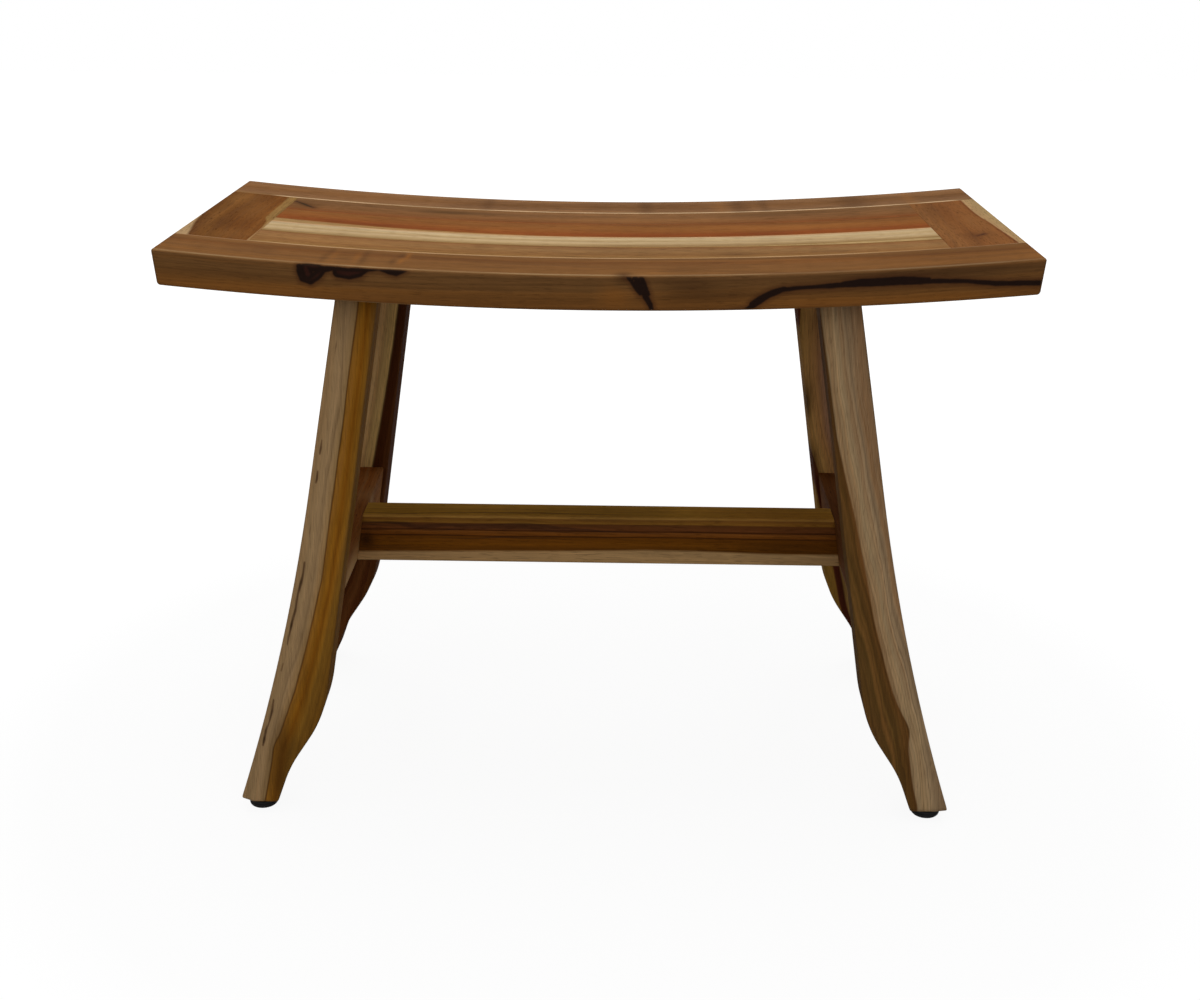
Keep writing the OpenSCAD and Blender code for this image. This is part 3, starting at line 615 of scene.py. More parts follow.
def teak(name, wood, look):
    """Oiled teak, planed and sanded: brown heartwood and pale sapwood with growth rings, long dark
    pores, mineral streaks and a satin, slightly open-pored surface."""
    material, tree, shader = new_material(name, **{"Specular IOR Level": 0.05})
    grain, figure, shade = [add(tree, "ShaderNodeAttribute", attribute_name=key).outputs["Vector"]
                            for key in ("grain", "figure", "shade")]
    along, across, _ = add(tree, SEPARATE, [grain]).outputs
    flow, ring, mark = add(tree, SEPARATE, [figure]).outputs
    tone, end, edge = add(tree, SEPARATE, [shade]).outputs

    def noise(length, width, detail=2.0, vector=grain, shift=0.0):
        """Noise with spots of that length along and width across the grain, from -0.5 to 0.5."""
        scale = (1 / length, 1 / width, 1 / width)
        shifts = (wood.seed * 7.3 + shift,) * 3
        place = add(tree, VECTOR_MATH, (vector, scale, shifts), operation="MULTIPLY_ADD")
        spots = add(tree, "ShaderNodeTexNoise", {"Vector": place, "Scale": 1.0, "Detail": detail})
        return add(tree, MATH, (spots, 0.5), operation="SUBTRACT")

    # The figure wanders a few millimetres over the length of a hand
    wander = noise(130, 24)
    ripple = noise(34, 5, shift=3.1)
    flow = weigh(tree, flow, (2 * wood.wander, wander), (0.8 * wood.wander, ripple))
    ring = weigh(tree, ring, (9.0, wander), (1.6, ripple))
    colour = ramp(tree, flow, wood.ramp)

    # Pale and dark bands along the rings, then the rings, each with its own strength
    ring_place = add(tree, COMBINE, (along, ring))
    band = noise(420, 6.5, 3.0, ring_place)
    count = add(tree, MATH, (ring, wood.ring), operation="DIVIDE")
    number = add(tree, MATH, [count], operation="FLOOR")
    chance = add(tree, "ShaderNodeTexWhiteNoise", {"W": number}, noise_dimensions="1D")
    profile = ramp(tree, add(tree, MATH, [count], operation="FRACT"), RING_PROFILE)
    strength = weigh(tree, 0.1, (0.9, chance))
    line = add(tree, MATH, (profile, strength), operation="MULTIPLY")

    # Thin mineral streaks, and pores of 0.2 mm that are drawn 0.7 mm wide so that they show
    vein = add(tree, MAP_RANGE, (noise(240, 2.4, 2.0, ring_place, 5.7), 0.12, 0.2), **SMOOTH)
    pore_noise = noise(look.pore_length, look.pore_width, 0.0, shift=4.9)
    pore = add(tree, MAP_RANGE, (pore_noise, 0.13, 0.24), **SMOOTH)
    colour = coat(tree, colour, (2.4 * wood.streaks, band, wood.glow), (-1.8 * wood.streaks, band, wood.deep),
                  (wood.lines, line, wood.deep), (wood.mineral, vein, MINERAL),
                  (look.pore_depth * wood.pores, pore, wood.deep))

    # Fibres, fine lines along the rings and soft tufts make the wood lighter and darker
    fibre = noise(look.fibre_length, 0.7, 1.0, shift=1.7)
    fine_line = noise(260, 1.7, 2.0, ring_place, 8.8)
    tuft = noise(16, 60, 1.0, shift=2.2)
    for weight, value in ((0.5, fibre), (1.1 * wood.streaks, fine_line), (0.16, tuft)):
        share = weigh(tree, 1.0, (weight, value))
        colour = add(tree, VECTOR_MATH, {0: colour, "Scale": share}, operation="SCALE")

    # Painted highlights: thin pale lines along the edges and seams, with broken strength and soft ends
    for position, width, code, first, last in wood.painted_highlights:
        off = add(tree, MATH, (across, position), operation="SUBTRACT")
        off = add(tree, MATH, [off], operation="ABSOLUTE")
        lip = add(tree, MAP_RANGE, (off, 0.5 * width, width, 1.0, 0.0), **SMOOTH)
        for fade in ((noise(90, 400, shift=position), -0.12, 0.1, 0.4, 0.95),
                     (along, first - 8, first + 8), (along, last - 8, last + 8, 1.0, 0.0)):
            part = add(tree, MAP_RANGE, fade, **SMOOTH)
            lip = add(tree, MATH, (lip, part), operation="MULTIPLY")
        colour = coat(tree, colour, (1.0, lip, code))

    # Soft patches, then knots and streaks with a red-brown rim. End grain soaks up more oil, and worn
    # edges are rubbed lighter and carry a painted highlight where they catch the light
    mark = weigh(tree, mark, (0.2 * wood.rim + 0.5, noise(9, 4, shift=6.3)))
    rim, stain, core = [add(tree, MAP_RANGE, (mark, inner, outer, 1.0, 0.0), **SMOOTH)
                        for inner, outer in ((0.2, wood.rim), (-0.7, 0.8), (-3.6, -1.6))]
    colour = coat(tree, colour, (1.0, tone, wood.glow), (-1.0, tone, wood.deep), (0.55, rim, MARK_RIM),
                  (0.96, stain, wood.stain or look.stain_hex), (0.8, core, MARK_CORE),
                  (0.45, end, END_GRAIN), (look.edge_wear_and_highlight, edge, WEAR_AND_PAINTED_HIGHLIGHT))

    rough = weigh(tree, 0.76, (0.15, pore), (-0.1, line), (0.12, wander))
    height = weigh(tree, 0.0, (0.5, fibre), (-1.0, pore), (-0.35, line))
    bump = add(tree, "ShaderNodeBump", {"Height": height, "Strength": 0.5, "Distance": 0.12 * MM})
    fill(tree, shader, {"Base Color": colour, "Roughness": rough, "Normal": bump})
    return material


def object_noise(tree, scale_mm, detail=2.0, stretch=(1, 1, 1)):
    """Noise on the object's own coordinates, with spots of about scale_mm."""
    place = add(tree, "ShaderNodeTexCoord").outputs["Object"]
    scaled = add(tree, VECTOR_MATH, (place, stretch), operation="MULTIPLY")
    return add(tree, "ShaderNodeTexNoise", {"Vector": scaled, "Scale": 1 / (scale_mm * MM), "Detail": detail})


def hardwood_dowel():
    """Beech, turned: pale, even wood with short flecks."""
    material, tree, shader = new_material("beech_turned", Roughness=0.6)
    flecks = object_noise(tree, 1.5, 3.0, (0.15, 1, 1))
    fill(tree, shader, {"Base Color": ramp(tree, flecks, [(0.3, "#a9855a"), (0.7, "#c9a678")])})
    return material


def rubber(look):
    """Moulded black rubber: matt, with a faint mould texture and paler scuffs."""
    material, tree, shader = new_material("rubber_moulded", **{"Specular IOR Level": 0.4})
    scuffs = object_noise(tree, 3.0, 4.0)
    rough = weigh(tree, look.rubber_roughness - 0.1, (0.25, scuffs))
    # Mould texture of 0.3 mm grit
    grit = object_noise(tree, 0.3)
    bump = add(tree, "ShaderNodeBump", {"Height": grit, "Strength": 0.3, "Distance": 0.05 * MM})
    colour = ramp(tree, scuffs, [(0.35, "#121010"), (0.75, "#262323")])
    fill(tree, shader, {"Base Color": colour, "Roughness": rough, "Normal": bump})
    return material


def metal(name, hex_dark, hex_light, roughness, line_mm):
    """Machined metal: fine turning lines round the upright axis and a little tarnish."""
    material, tree, shader = new_material(name, Metallic=1.0)
    tarnish = object_noise(tree, 4.0, 3.0)
    lines = object_noise(tree, line_mm, 1.0, (0.1, 0.1, 1))
    rough = weigh(tree, roughness - 0.08, (0.2, lines))
    bump = add(tree, "ShaderNodeBump", {"Height": lines, "Strength": 0.2, "Distance": 0.02 * MM})
    colour = ramp(tree, tarnish, [(0.35, hex_dark), (0.7, hex_light)])
    fill(tree, shader, {"Base Color": colour, "Roughness": rough, "Normal": bump})
    return material


# ---- Skins: closed meshes built from rings of points ----


def spread(start, stop, step):
    """Evenly spaced values from start to stop, at most step apart."""
    return np.linspace(start, stop, max(2, math.ceil(abs(stop - start) / step) + 1))


def section(width, thick, radii, runs):
    """Outline of a rectangle with rounded corners, from (0, 0) to (width, thick).

    radii: of the corners at 0 and at width. runs: points on a width and on a thickness.
    Returns points, their outward directions, and how far each lies into a rounded corner.
    """
    near, far = radii
    points, outward, edge = [], [], []
    places = [(0, 0, near), (width, 0, far), (width, thick, far), (0, thick, near)]
    steps = 5
    for k, (v, w, r) in enumerate(places):
        centre = np.array([v + (r if v == 0 else -r), w + (r if w == 0 else -r)])
        for i in range(steps):
            angle = math.radians(180 + 90 * k + 90 * i / (steps - 1))
            way = np.array([math.cos(angle), math.sin(angle)])
            points.append(centre + r * way)
            outward.append(way)
            edge.append(1 - abs(2 * i / (steps - 1) - 1))
        nv, nw, nr = places[(k + 1) % 4]
        ahead = np.array([nv + (nr if nv == 0 else -nr), nw + (nr if nw == 0 else -nr)]) + nr * way
        count = runs[k % 2]
        for i in range(1, count):
            points.append(points[-1] + (ahead - points[-1]) / (count - i + 1))
            outward.append(way)
            edge.append(0)
    return np.array(points), np.array(outward), np.array(edge)


def shrink(outline, outward, size, insets, thin):
    """The outline moved inwards: by insets at its two v sides and by thin at its w sides."""
    width, thick = size
    side = np.where(outward[:, 0] < 0, insets[0], insets[1])
    v = np.clip(outline[:, 0] - outward[:, 0] * side, insets[0], width - insets[1])
    w = np.clip(outline[:, 1] - outward[:, 1] * thin, thin, thick - thin)
    return np.stack([v, w], axis=1)


def block(size, ends, sides, step):
    """Rings of a block with eased edges, as u along it, v across and w into it.

    ends: easing at u = 0 and at the far end. sides: easing of the long edges at v = 0 and v = width.
    Also returns what is end grain and what is a rounded edge.
    """
    length, width, thick = size
    runs = (max(2, round(width / step)), max(2, round(thick / step)))
    outline, outward, corner = section(width, thick, sides, runs)
    half = min(width, thick) / 2
    stations = []
    for r, sign, origin in ((ends[0], 1, 0), (ends[1], -1, length)):
        own = [min(r, s) for s in sides]
        steps = []
        for k in np.linspace(1, 0, max(3, round(half / step) + 1)):
            steps.append((origin, [s + k * (half - s) for s in own], r + k * (half - r), 1.0, 0.0))
        for a in np.radians([67, 45, 22]):
            bend = 1 - math.cos(a)
            u = origin + sign * r * (1 - math.sin(a))
            steps.append((u, [s * bend for s in own], r * bend, 0.4, 1.0))
        stations.append(steps)
    body = spread(ends[0], length - ends[1], step)
    middle = [(u, [0, 0], 0, 0.0, 0.0) for u in body]
    rings, end_flags, edge_flags = [], [], []
    for u, insets, thin, is_end, is_edge in stations[0] + middle + stations[1][::-1]:
        flat = shrink(outline, outward, (width, thick), insets, thin)
        rings.append(np.column_stack([np.full(len(flat), u), flat]))
        end_flags.append(np.full(len(flat), is_end))
        edge_flags.append(np.maximum(corner * (is_end == 0), is_edge))
    return np.moveaxis(np.array(rings), -1, 0), np.array(end_flags), np.array(edge_flags)


def describe(mesh, grain, wood, end, edge):
    """Gives the mesh's points the attributes that the teak material reads."""
    shade = np.stack([wood.tone(grain), end, edge], axis=1)
    for key, values in (("grain", grain), ("figure", wood.figure(grain)), ("shade", shade)):
        attribute = mesh.attributes.new(key, "FLOAT_VECTOR", "POINT")
        attribute.data.foreach_set("vector", values.astype(np.float32).ravel())


def skin(name, places, grain, wood, end, edge, open_start=False):
    """A mesh over rings of places, closed at both ends unless its start is left open."""
    rings, around = places.shape[:2]
    index = np.arange(rings * around).reshape(rings, around)
    ahead = np.roll(index, -1, axis=1)
    faces = np.stack([index[:-1], ahead[:-1], ahead[1:], index[1:]], axis=-1).reshape(-1, 4).tolist()
    faces.append(index[-1].tolist())
    if not open_start:
        faces.append(index[0][::-1].tolist())
    mesh = bpy.data.meshes.new(name)
    mesh.from_pydata((places.reshape(-1, 3) * MM).tolist(), [], faces)
    describe(mesh, grain.reshape(-1, 3), wood, end.ravel(), edge.ravel())
    clean(mesh)
    return mesh


def clean(mesh):
    """Welds the points that meet, drops empty faces, turns all faces outwards and smooths them."""
    bm = bmesh.new()
    bm.from_mesh(mesh)
    bmesh.ops.remove_doubles(bm, verts=bm.verts, dist=0.002 * MM)
    bmesh.ops.dissolve_degenerate(bm, edges=bm.edges, dist=0.001 * MM)
    bmesh.ops.recalc_face_normals(bm, faces=bm.faces)
    for face in bm.faces:
        face.smooth = True
    bm.to_mesh(mesh)
    bm.free()


def new_object(name, data):
    """An object of that name and data, linked to the scene."""
    made = bpy.data.objects.new(name, data)
    bpy.context.scene.collection.objects.link(made)
    return made


def show(name, mesh, body, nodes, material=None):
    """Makes the mesh a piece that rides on a body and stands for the CAD nodes."""
    piece = new_object(name, mesh)
    if material is not None:
        mesh.materials.clear()
        mesh.materials.append(material)
    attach(piece, body)
    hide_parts(*nodes)


def lathe(profile, centre, segments=48):
    """A bmesh turned round an upright axis through centre; profile is a list of (radius, height)."""
    bm = bmesh.new()
    angles = [2 * math.pi * i / segments for i in range(segments)]
    rings = []
    for r, z in profile:
        ring = []
        for a in angles if r else angles[:1]:
            x, y = centre[0] + r * math.cos(a), centre[1] + r * math.sin(a)
            ring.append(bm.verts.new((x * MM, y * MM, z * MM)))
        rings.append(ring)
    for low, high in zip(rings, rings[1:]):
        for i in range(segments):
            j = (i + 1) % segments
            corners = [low[i % len(low)], low[j % len(low)], high[j % len(high)], high[i % len(high)]]
            bm.faces.new(list(dict.fromkeys(corners)))
    return bm


def open_edges(bm):
    """The edges of a bmesh that have a face on one side only."""
    return [edge for edge in bm.edges if edge.is_boundary]


def join(bm, other):
    """Adds the other bmesh to bm, and frees it."""
    part = bpy.data.meshes.new("part")
    other.to_mesh(part)
    other.free()
    bm.from_mesh(part)
    bpy.data.meshes.remove(part)


def finish_mesh(name, bm, smooth_under=40):
    """The bmesh as a mesh that is smooth except at edges sharper than that many degrees."""
    bmesh.ops.recalc_face_normals(bm, faces=bm.faces)
    mesh = bpy.data.meshes.new(name)
    bm.to_mesh(mesh)
    bm.free()
    for polygon in mesh.polygons:
        polygon.use_smooth = True
    mesh.set_sharp_from_angle(angle=math.radians(smooth_under))
    return mesh


# ---- Geometry Nodes ----

# Radius of the thread's ridge as a share of its pitch
RIDGE_SHARE = 0.42


def start_tree(name, *inputs):
    """A Geometry Nodes tree with inputs of (name, socket type, default), and its material last."""
    tree = bpy.data.node_groups.new(name, "GeometryNodeTree")
    tree.interface.new_socket("Geometry", in_out="INPUT", socket_type="NodeSocketGeometry")
    for label, kind, default in (*inputs, ("Material", "NodeSocketMaterial", None)):
        socket = tree.interface.new_socket(label, in_out="INPUT", socket_type=kind)
        if default is not None:
            socket.default_value = default
    tree.interface.new_socket("Geometry", in_out="OUTPUT", socket_type="NodeSocketGeometry")
    return tree, add(tree, "NodeGroupInput").outputs


def end_tree(tree, geometry, given):
    """Realises all instances, sets the material and closes the tree."""
    real = add(tree, "GeometryNodeRealizeInstances", [geometry])
    made = add(tree, "GeometryNodeSetMaterial", {0: real, "Material": given["Material"]})
    add(tree, "NodeGroupOutput", [made])
    return tree


def grow(name, mesh, tree, values):
    """The plain mesh that the tree makes of mesh, with its inputs set by their identifiers."""
    carrier = new_object(name + "_carrier", mesh)
    modifier = carrier.modifiers.new("Nodes", "NODES")
    modifier.node_group = tree
    for item in tree.interface.items_tree:
        if item.in_out == "INPUT" and item.name in values:
            modifier[item.identifier] = values[item.name]
    bpy.context.view_layer.update()
    evaluated = carrier.evaluated_get(bpy.context.evaluated_depsgraph_get())
    made = bpy.data.meshes.new_from_object(evaluated)
    carrier.modifiers.remove(modifier)
    bpy.data.objects.remove(carrier)
    made.name = name
    return made


def seat_bend_tree():
    """Bends a flat board, its top at z = 0, to the seat's arc about an axis along Y above it."""
    tree, given = start_tree("seat_bend", ("Seat radius", "NodeSocketFloat", 3.1),
                             ("Axis height", "NodeSocketFloat", 3.5))
    x, y, z = add(tree, SEPARATE, [add(tree, "GeometryNodeInputPosition")]).outputs
    radius = add(tree, MATH, (given["Seat radius"], z), operation="SUBTRACT")
    radius_square = add(tree, MATH, (radius, radius), operation="MULTIPLY")
    x_square = add(tree, MATH, (x, x), operation="MULTIPLY")
    drop_square = add(tree, MATH, (radius_square, x_square), operation="SUBTRACT")
    drop = add(tree, MATH, [drop_square], operation="SQRT")
    height = add(tree, MATH, (given["Axis height"], drop), operation="SUBTRACT")
    bent = add(tree, COMBINE, (x, y, height))
    moved = add(tree, "GeometryNodeSetPosition", {0: given["Geometry"], "Position": bent})
    return end_tree(tree, moved, given)


def thread_tree():
    """Adds a rolled thread round an upright axis: a ridge that winds up from a starting height."""
    tree, given = start_tree("rolled_thread", ("Crest radius", "NodeSocketFloat", 0.003),
                             ("Pitch", "NodeSocketFloat", 0.001), ("Length", "NodeSocketFloat", 0.02),
                             ("Start", "NodeSocketVector", (0, 0, 0)))
    ridge = add(tree, MATH, (given["Pitch"], RIDGE_SHARE), operation="MULTIPLY")
    middle = add(tree, MATH, (given["Crest radius"], ridge), operation="SUBTRACT")
    turns = add(tree, MATH, (given["Length"], given["Pitch"]), operation="DIVIDE")
    helix = add(tree, "GeometryNodeCurveSpiral", {
        "Resolution": 32, "Rotations": turns, "Start Radius": middle, "End Radius": middle,
        "Height": given["Length"]})
    profile = add(tree, "GeometryNodeCurvePrimitiveCircle", {"Resolution": 6, "Radius": ridge})
    wound = add(tree, "GeometryNodeCurveToMesh", {0: helix, "Profile Curve": profile, "Fill Caps": True})
    placed = add(tree, "GeometryNodeTransform", {0: wound, "Translation": given["Start"]})
    joined = add(tree, "GeometryNodeJoinGeometry", [given["Geometry"]])
    fill(tree, joined, [placed])
    return end_tree(tree, joined, given)


def fastener_tree():
    """Sets a copy of one fastener at each point, tilted outwards on both sides of the bench."""
    tree, given = start_tree("fasteners", ("Fastener", "NodeSocketObject", None),
                             ("Tilt", "NodeSocketFloat", 0.0))
    shape = add(tree, "GeometryNodeObjectInfo", {"Object": given["Fastener"]}).outputs["Geometry"]
    x = add(tree, SEPARATE, [add(tree, "GeometryNodeInputPosition")]).outputs[0]
    side = add(tree, MATH, [x], operation="SIGN")
    tilt = add(tree, MATH, (side, given["Tilt"]), operation="MULTIPLY")
    # Each copy stops at its own angle, as a driven screw does
    spin = add(tree, MATH, (add(tree, "GeometryNodeInputIndex"), 1.3), operation="MULTIPLY")
    facing = add(tree, "FunctionNodeEulerToRotation", [add(tree, COMBINE, (0, tilt, spin))])
    placed = add(tree, "GeometryNodeInstanceOnPoints", {0: given["Geometry"], "Instance": shape,
                                                        "Rotation": facing})
    return end_tree(tree, placed, given)


def fasten(name, shape, places, tilt, material):
    """One mesh with a copy of the shape, which points up, at each place."""
    points = bpy.data.meshes.new(name + "_points")
    points.from_pydata(places, [], [])
    fastener = new_object(name + "_shape", shape)
    values = {"Fastener": fastener, "Tilt": tilt, "Material": material}
    made = grow(name, points, fastener_tree(), values)
    bpy.data.objects.remove(fastener)
    return made


# ---- Pieces ----


def seat_board(node, wood, look, crossways=False):
    """One board of the seat as a flat eased block in the seat's own x, y and depth."""
    lo, hi = box(node)
    x0, x1 = lo.x, hi.x
    # Which way each end faces, and whether it is an outer end of the seat
    ways, outer_ends = (-1, 1), (True, True)
    if crossways:
        side = 1 if hi.x > 0 else -1
        x0, x1 = sorted((side * SEAT.panel_half, side * SEAT.half_len))
        ways, outer_ends = (side, side), (side < 0, side > 0)
    elif hi.x < SEAT.half_len - 1:
        x0, x1 = -SEAT.panel_half, SEAT.panel_half
        outer_ends = (False, False)
    outer, seam = look.outer_ease / MM, look.seam_ease / MM
    ends = [outer if is_outer else seam for is_outer in outer_ends]
    sides = [outer if abs(y) > SEAT.back - 1 else seam for y in (lo.y, hi.y)]
    step = look.mesh_step / MM * (0.6 if wood.marks else 1.0)
    (u, v, w), end, edge = block((x1 - x0, hi.y - lo.y, SEAT.thick), ends, sides, step)
    # The outer ends lean in towards the underside; the seams point at the axis of the arc
    seam_slope = SEAT.panel_half / SEAT.radius
    start, stop = [way * (-SEAT.end_slope if is_outer else seam_slope)
                   for way, is_outer in zip(ways, outer_ends)]
    share = u / (x1 - x0)
    x = x0 + u + w * ((1 - share) * start + share * stop)
    y = lo.y + v
    grain = np.stack([x, v, w], axis=-1)
    if crossways:
        grain = np.stack([y, np.abs(x) - SEAT.panel_half, w], axis=-1)
        end = end * 0
    return skin(node + "_flat", np.stack([x, y, -w], axis=-1), grain, wood, end, edge)


class BenchLook(bpy.types.PropertyGroup):
    """Sizes and colours of the looks. The main sizes come from the CAD frame."""

    mesh_step: bpy.props.FloatProperty(
        name="Mesh step", description="Spacing of the points on wooden surfaces",
        default=2.4 * MM, unit="LENGTH")
    outer_ease: bpy.props.FloatProperty(
        name="Outer edge", description="Rounding of the seat's outer edges",
        default=2.2 * MM, unit="LENGTH")
    seam_ease: bpy.props.FloatProperty(
        name="Seam edge", description="Easing of the edges where two seat boards meet",
        default=0.35 * MM, unit="LENGTH")
    leg_ease: bpy.props.FloatProperty(
        name="Leg edge", description="Rounding of the long edges of the legs",
        default=1.6 * MM, unit="LENGTH")
    rail_ease: bpy.props.FloatProperty(
        name="Stretcher edge", description="Rounding of the long edges of the side stretchers",
        default=1.5 * MM, unit="LENGTH")
    bar_ease: bpy.props.FloatProperty(
        name="Centre stretcher edge", description="Rounding of the long edges of the centre stretcher",
        default=4.0 * MM, unit="LENGTH")
    fibre_length: bpy.props.FloatProperty(
        name="Fibre length", description="Length of the fine fibres in millimetres", default=26.0)
    pore_length: bpy.props.FloatProperty(
        name="Pore length", description="Length of the dark pores in millimetres", default=9.0)
    pore_width: bpy.props.FloatProperty(
        name="Pore width", description="Width of the dark pores in millimetres", default=0.7)
    pore_depth: bpy.props.FloatProperty(
        name="Pore depth", description="How dark the pores are", default=0.45,
        subtype="FACTOR", min=0, max=1)
    # Lightens the rounded edges: wear, and a painted highlight
    edge_wear_and_highlight: bpy.props.FloatProperty(
        name="Edge wear", description="How much lighter the worn edges are", default=0.05,
        subtype="FACTOR", min=0, max=1)
    stain_hex: bpy.props.StringProperty(
        name="Stain colour", description="sRGB hex colour of knots and mineral streaks", default="#241713")
    thread_pitch: bpy.props.FloatProperty(
        name="Thread pitch", description="Rise of the stems' thread in one turn",
        default=1.0 * MM, unit="LENGTH")
    rubber_roughness: bpy.props.FloatProperty(
        name="Rubber roughness", description="Roughness of the foot pads", default=0.6,
        subtype="FACTOR", min=0, max=1)
    key_power: bpy.props.FloatProperty(
        name="Top light", description="Power of the large light above the bench in watts",
        default=26.0, subtype="POWER")
    fill_power: bpy.props.FloatProperty(
        name="Front light", description="Power of the soft light in front of the bench in watts",
        default=22.0, subtype="POWER")
    sky: bpy.props.FloatProperty(
        name="Sky", description="Strength of the even light from all sides", default=0.13)


def the_look():
    """The sizes and colours that the panel shows."""
    return bpy.context.scene.bench_look


class BENCH_OT_seat(bpy.types.Operator):
    """Builds the eight boards of the curved seat"""

    bl_idname = "bench.seat"
    bl_label = "Seat boards"

    def execute(self, context):
        look = the_look()
        tree = seat_bend_tree()
        boards = {
            "front_rail": FRONT_RAIL, "back_rail": BACK_RAIL,
            "left_end_board": LEFT_END_BOARD, "right_end_board": RIGHT_END_BOARD,
            "brown_strip": BROWN_STRIP, "red_strip": RED_STRIP,
            "cream_strip": CREAM_STRIP, "tan_strip": TAN_STRIP,
        }
        for name, wood in boards.items():
            node, slot = "seat_" + name, "teak_" + name
            values = {"Seat radius": SEAT.radius * MM, "Axis height": SEAT.axis_z * MM,
                      "Material": teak(slot, wood, look)}
            flat = seat_board(node, wood, look, crossways=name.endswith("end_board"))
            show(node + "_wood", grow(node, flat, tree, values), BENCH, [node])
        return {"FINISHED"}


# How far the outer corner of each foot is rounded off upwards, and over what width
CORNER_LIFT = {"front_left": 3.0, "front_right": 1.2, "back_left": 0.6, "back_right": 0.6}
CORNER_WIDTH = 10.0


def leg_mesh(corner, wood, look):
    """A flared, splayed leg: rings of its section from the foot up to the seat's underside."""
    side, end_way = CORNERS[corner]
    ease = look.leg_ease / MM
    # The step up the leg, and the points across its front and its side: marks need them closer
    step = look.mesh_step / MM * (0.65 if wood.marks else 1.3)
    runs = (40 if wood.marks else 12, 11)
    foot_ease, top_ease, glue_line = 1.2, 0.7, 0.05
    top_slant = 5
    lean = math.atan(-LEG.lean)
    deep = LEG.deep * math.cos(lean)
    # Each ring: share of the way up, height above that, inset, end grain, edge
    stations = []
    for a in np.radians([90, 60, 30]):
        stations.append((0.0, foot_ease * (1 - math.sin(a)), foot_ease * (1 - math.cos(a)), 0.3, 0.6))
    for share in spread(0, 1, step / (LEG.top_z - LEG.foot_z))[1:-1]:
        stations.append((share, 0.0, 0.0, 0.0, 0.0))
    for a in np.radians([30, 60, 90]):
        inset = top_ease * (1 - math.cos(a))
        stations.append((1.0, -inset, inset, 0.0, 0.0))
    rings, grains, ends, edges = [], [], [], []
    for share, offset, inset, is_end, is_edge in stations:
        # The section is as wide as the leg is at about this height
        inner, outer = LEG.edges(np.array(LEG.foot_z + share * (LEG.top_z - top_slant - LEG.foot_z)))
        width = outer - inner
        outline, outward, corner_flag = section(width, deep, (ease, ease), runs)
        v, w = shrink(outline, outward, (width, deep), (inset, inset), inset).T
        lift = CORNER_LIFT[corner] * np.clip((v - (width - CORNER_WIDTH)) / CORNER_WIDTH, 0, 1)
        foot, top = LEG.foot_z + lift, SEAT.underside(inner + v) - glue_line
        z = foot + share * (top - foot) + offset
        inner_here, outer_here = LEG.edges(z + w * math.sin(lean))
        x = inner_here + v / width * (outer_here - inner_here)
        y = LEG.face(z) + w / math.cos(lean)
        rings.append(np.stack([side * x, -end_way * y, z], axis=-1))
        grains.append(np.stack([z, x, w], axis=-1))
        ends.append(np.full(len(v), is_end))
        edges.append(np.maximum(corner_flag, is_edge))
    mesh = skin(corner + "_leg", np.array(rings), np.array(grains), wood, np.array(ends), np.array(edges),
                open_start=True)
    bore_foot(mesh, FOOT.centre(corner))
    return mesh


def bore_foot(mesh, centre):
    """Closes the foot of a leg round the blind hole for its insert."""
    bm = bmesh.new()
    bm.from_mesh(mesh)
    radius, top = FOOT.insert_r + 0.05, FOOT.stem_top + 2
    join(bm, lathe([(radius, LEG.foot_z), (radius, top), (0, top)], centre, 32))
    bmesh.ops.triangle_fill(bm, use_beauty=True, edges=open_edges(bm))
    bmesh.ops.recalc_face_normals(bm, faces=bm.faces)
    bm.to_mesh(mesh)
    bm.free()


class BENCH_OT_legs(bpy.types.Operator):
    """Builds the four flared legs"""

    bl_idname = "bench.legs"
    bl_label = "Legs"

    def execute(self, context):
        look = the_look()
        slots = {
            "front_left": ("teak_front_left_leg", FRONT_LEFT_LEG),
            "front_right": ("teak_front_right_leg", FRONT_RIGHT_LEG),
            "back_left": ("teak_back_legs", BACK_LEFT_LEG),
            "back_right": ("teak_back_legs", BACK_RIGHT_LEG),
        }
        for corner, (slot, wood) in slots.items():
            material = teak(corner + "_leg_teak", wood, look)
            mesh = leg_mesh(corner, wood, look)
            show(corner + "_leg_wood", mesh, BENCH, [corner + "_leg"], material)
        return {"FINISHED"}


def leaning_face(node, y, low, high, direction):
    """The first face of the node met going out or in at that y: its x at height low, and its slope."""
    start = 0 if direction == OUT else FAR
    x_low, x_high = [probe(node, (start, y, z), direction).x for z in (low, high)]
    return x_low, (x_high - x_low) / (high - low)


def side_stretcher_mesh(side, wood, look):
    """A rail between a front and a back leg, leaning with their inner edges."""
    node = "right_side_stretcher"
    lo, hi = box(node)
    y_clear = 0.35 * hi.y
    low, high = lo.z + 6, hi.z - 6
    inner, slope = leaning_face(node, y_clear, low, high, OUT)
    outer, _ = leaning_face(node, y_clear, low, high, IN)
    ease = look.rail_ease / MM
    height = hi.z - lo.z
    reach = LEG.gap(lo.z)
    size = (2 * reach, height, outer - inner)
    (u, v, w), end, edge = block(size, (0.4, 0.4), (ease, ease), look.mesh_step / MM)
    z = lo.z + v
    x = inner + slope * (z - low) + w
    y = (u - reach) * LEG.gap(z) / reach
    grain = np.stack([u - reach, v - height / 2, w], axis=-1)
    return skin("side_stretcher", np.stack([side * x, y, z], axis=-1), grain, wood, end, edge)


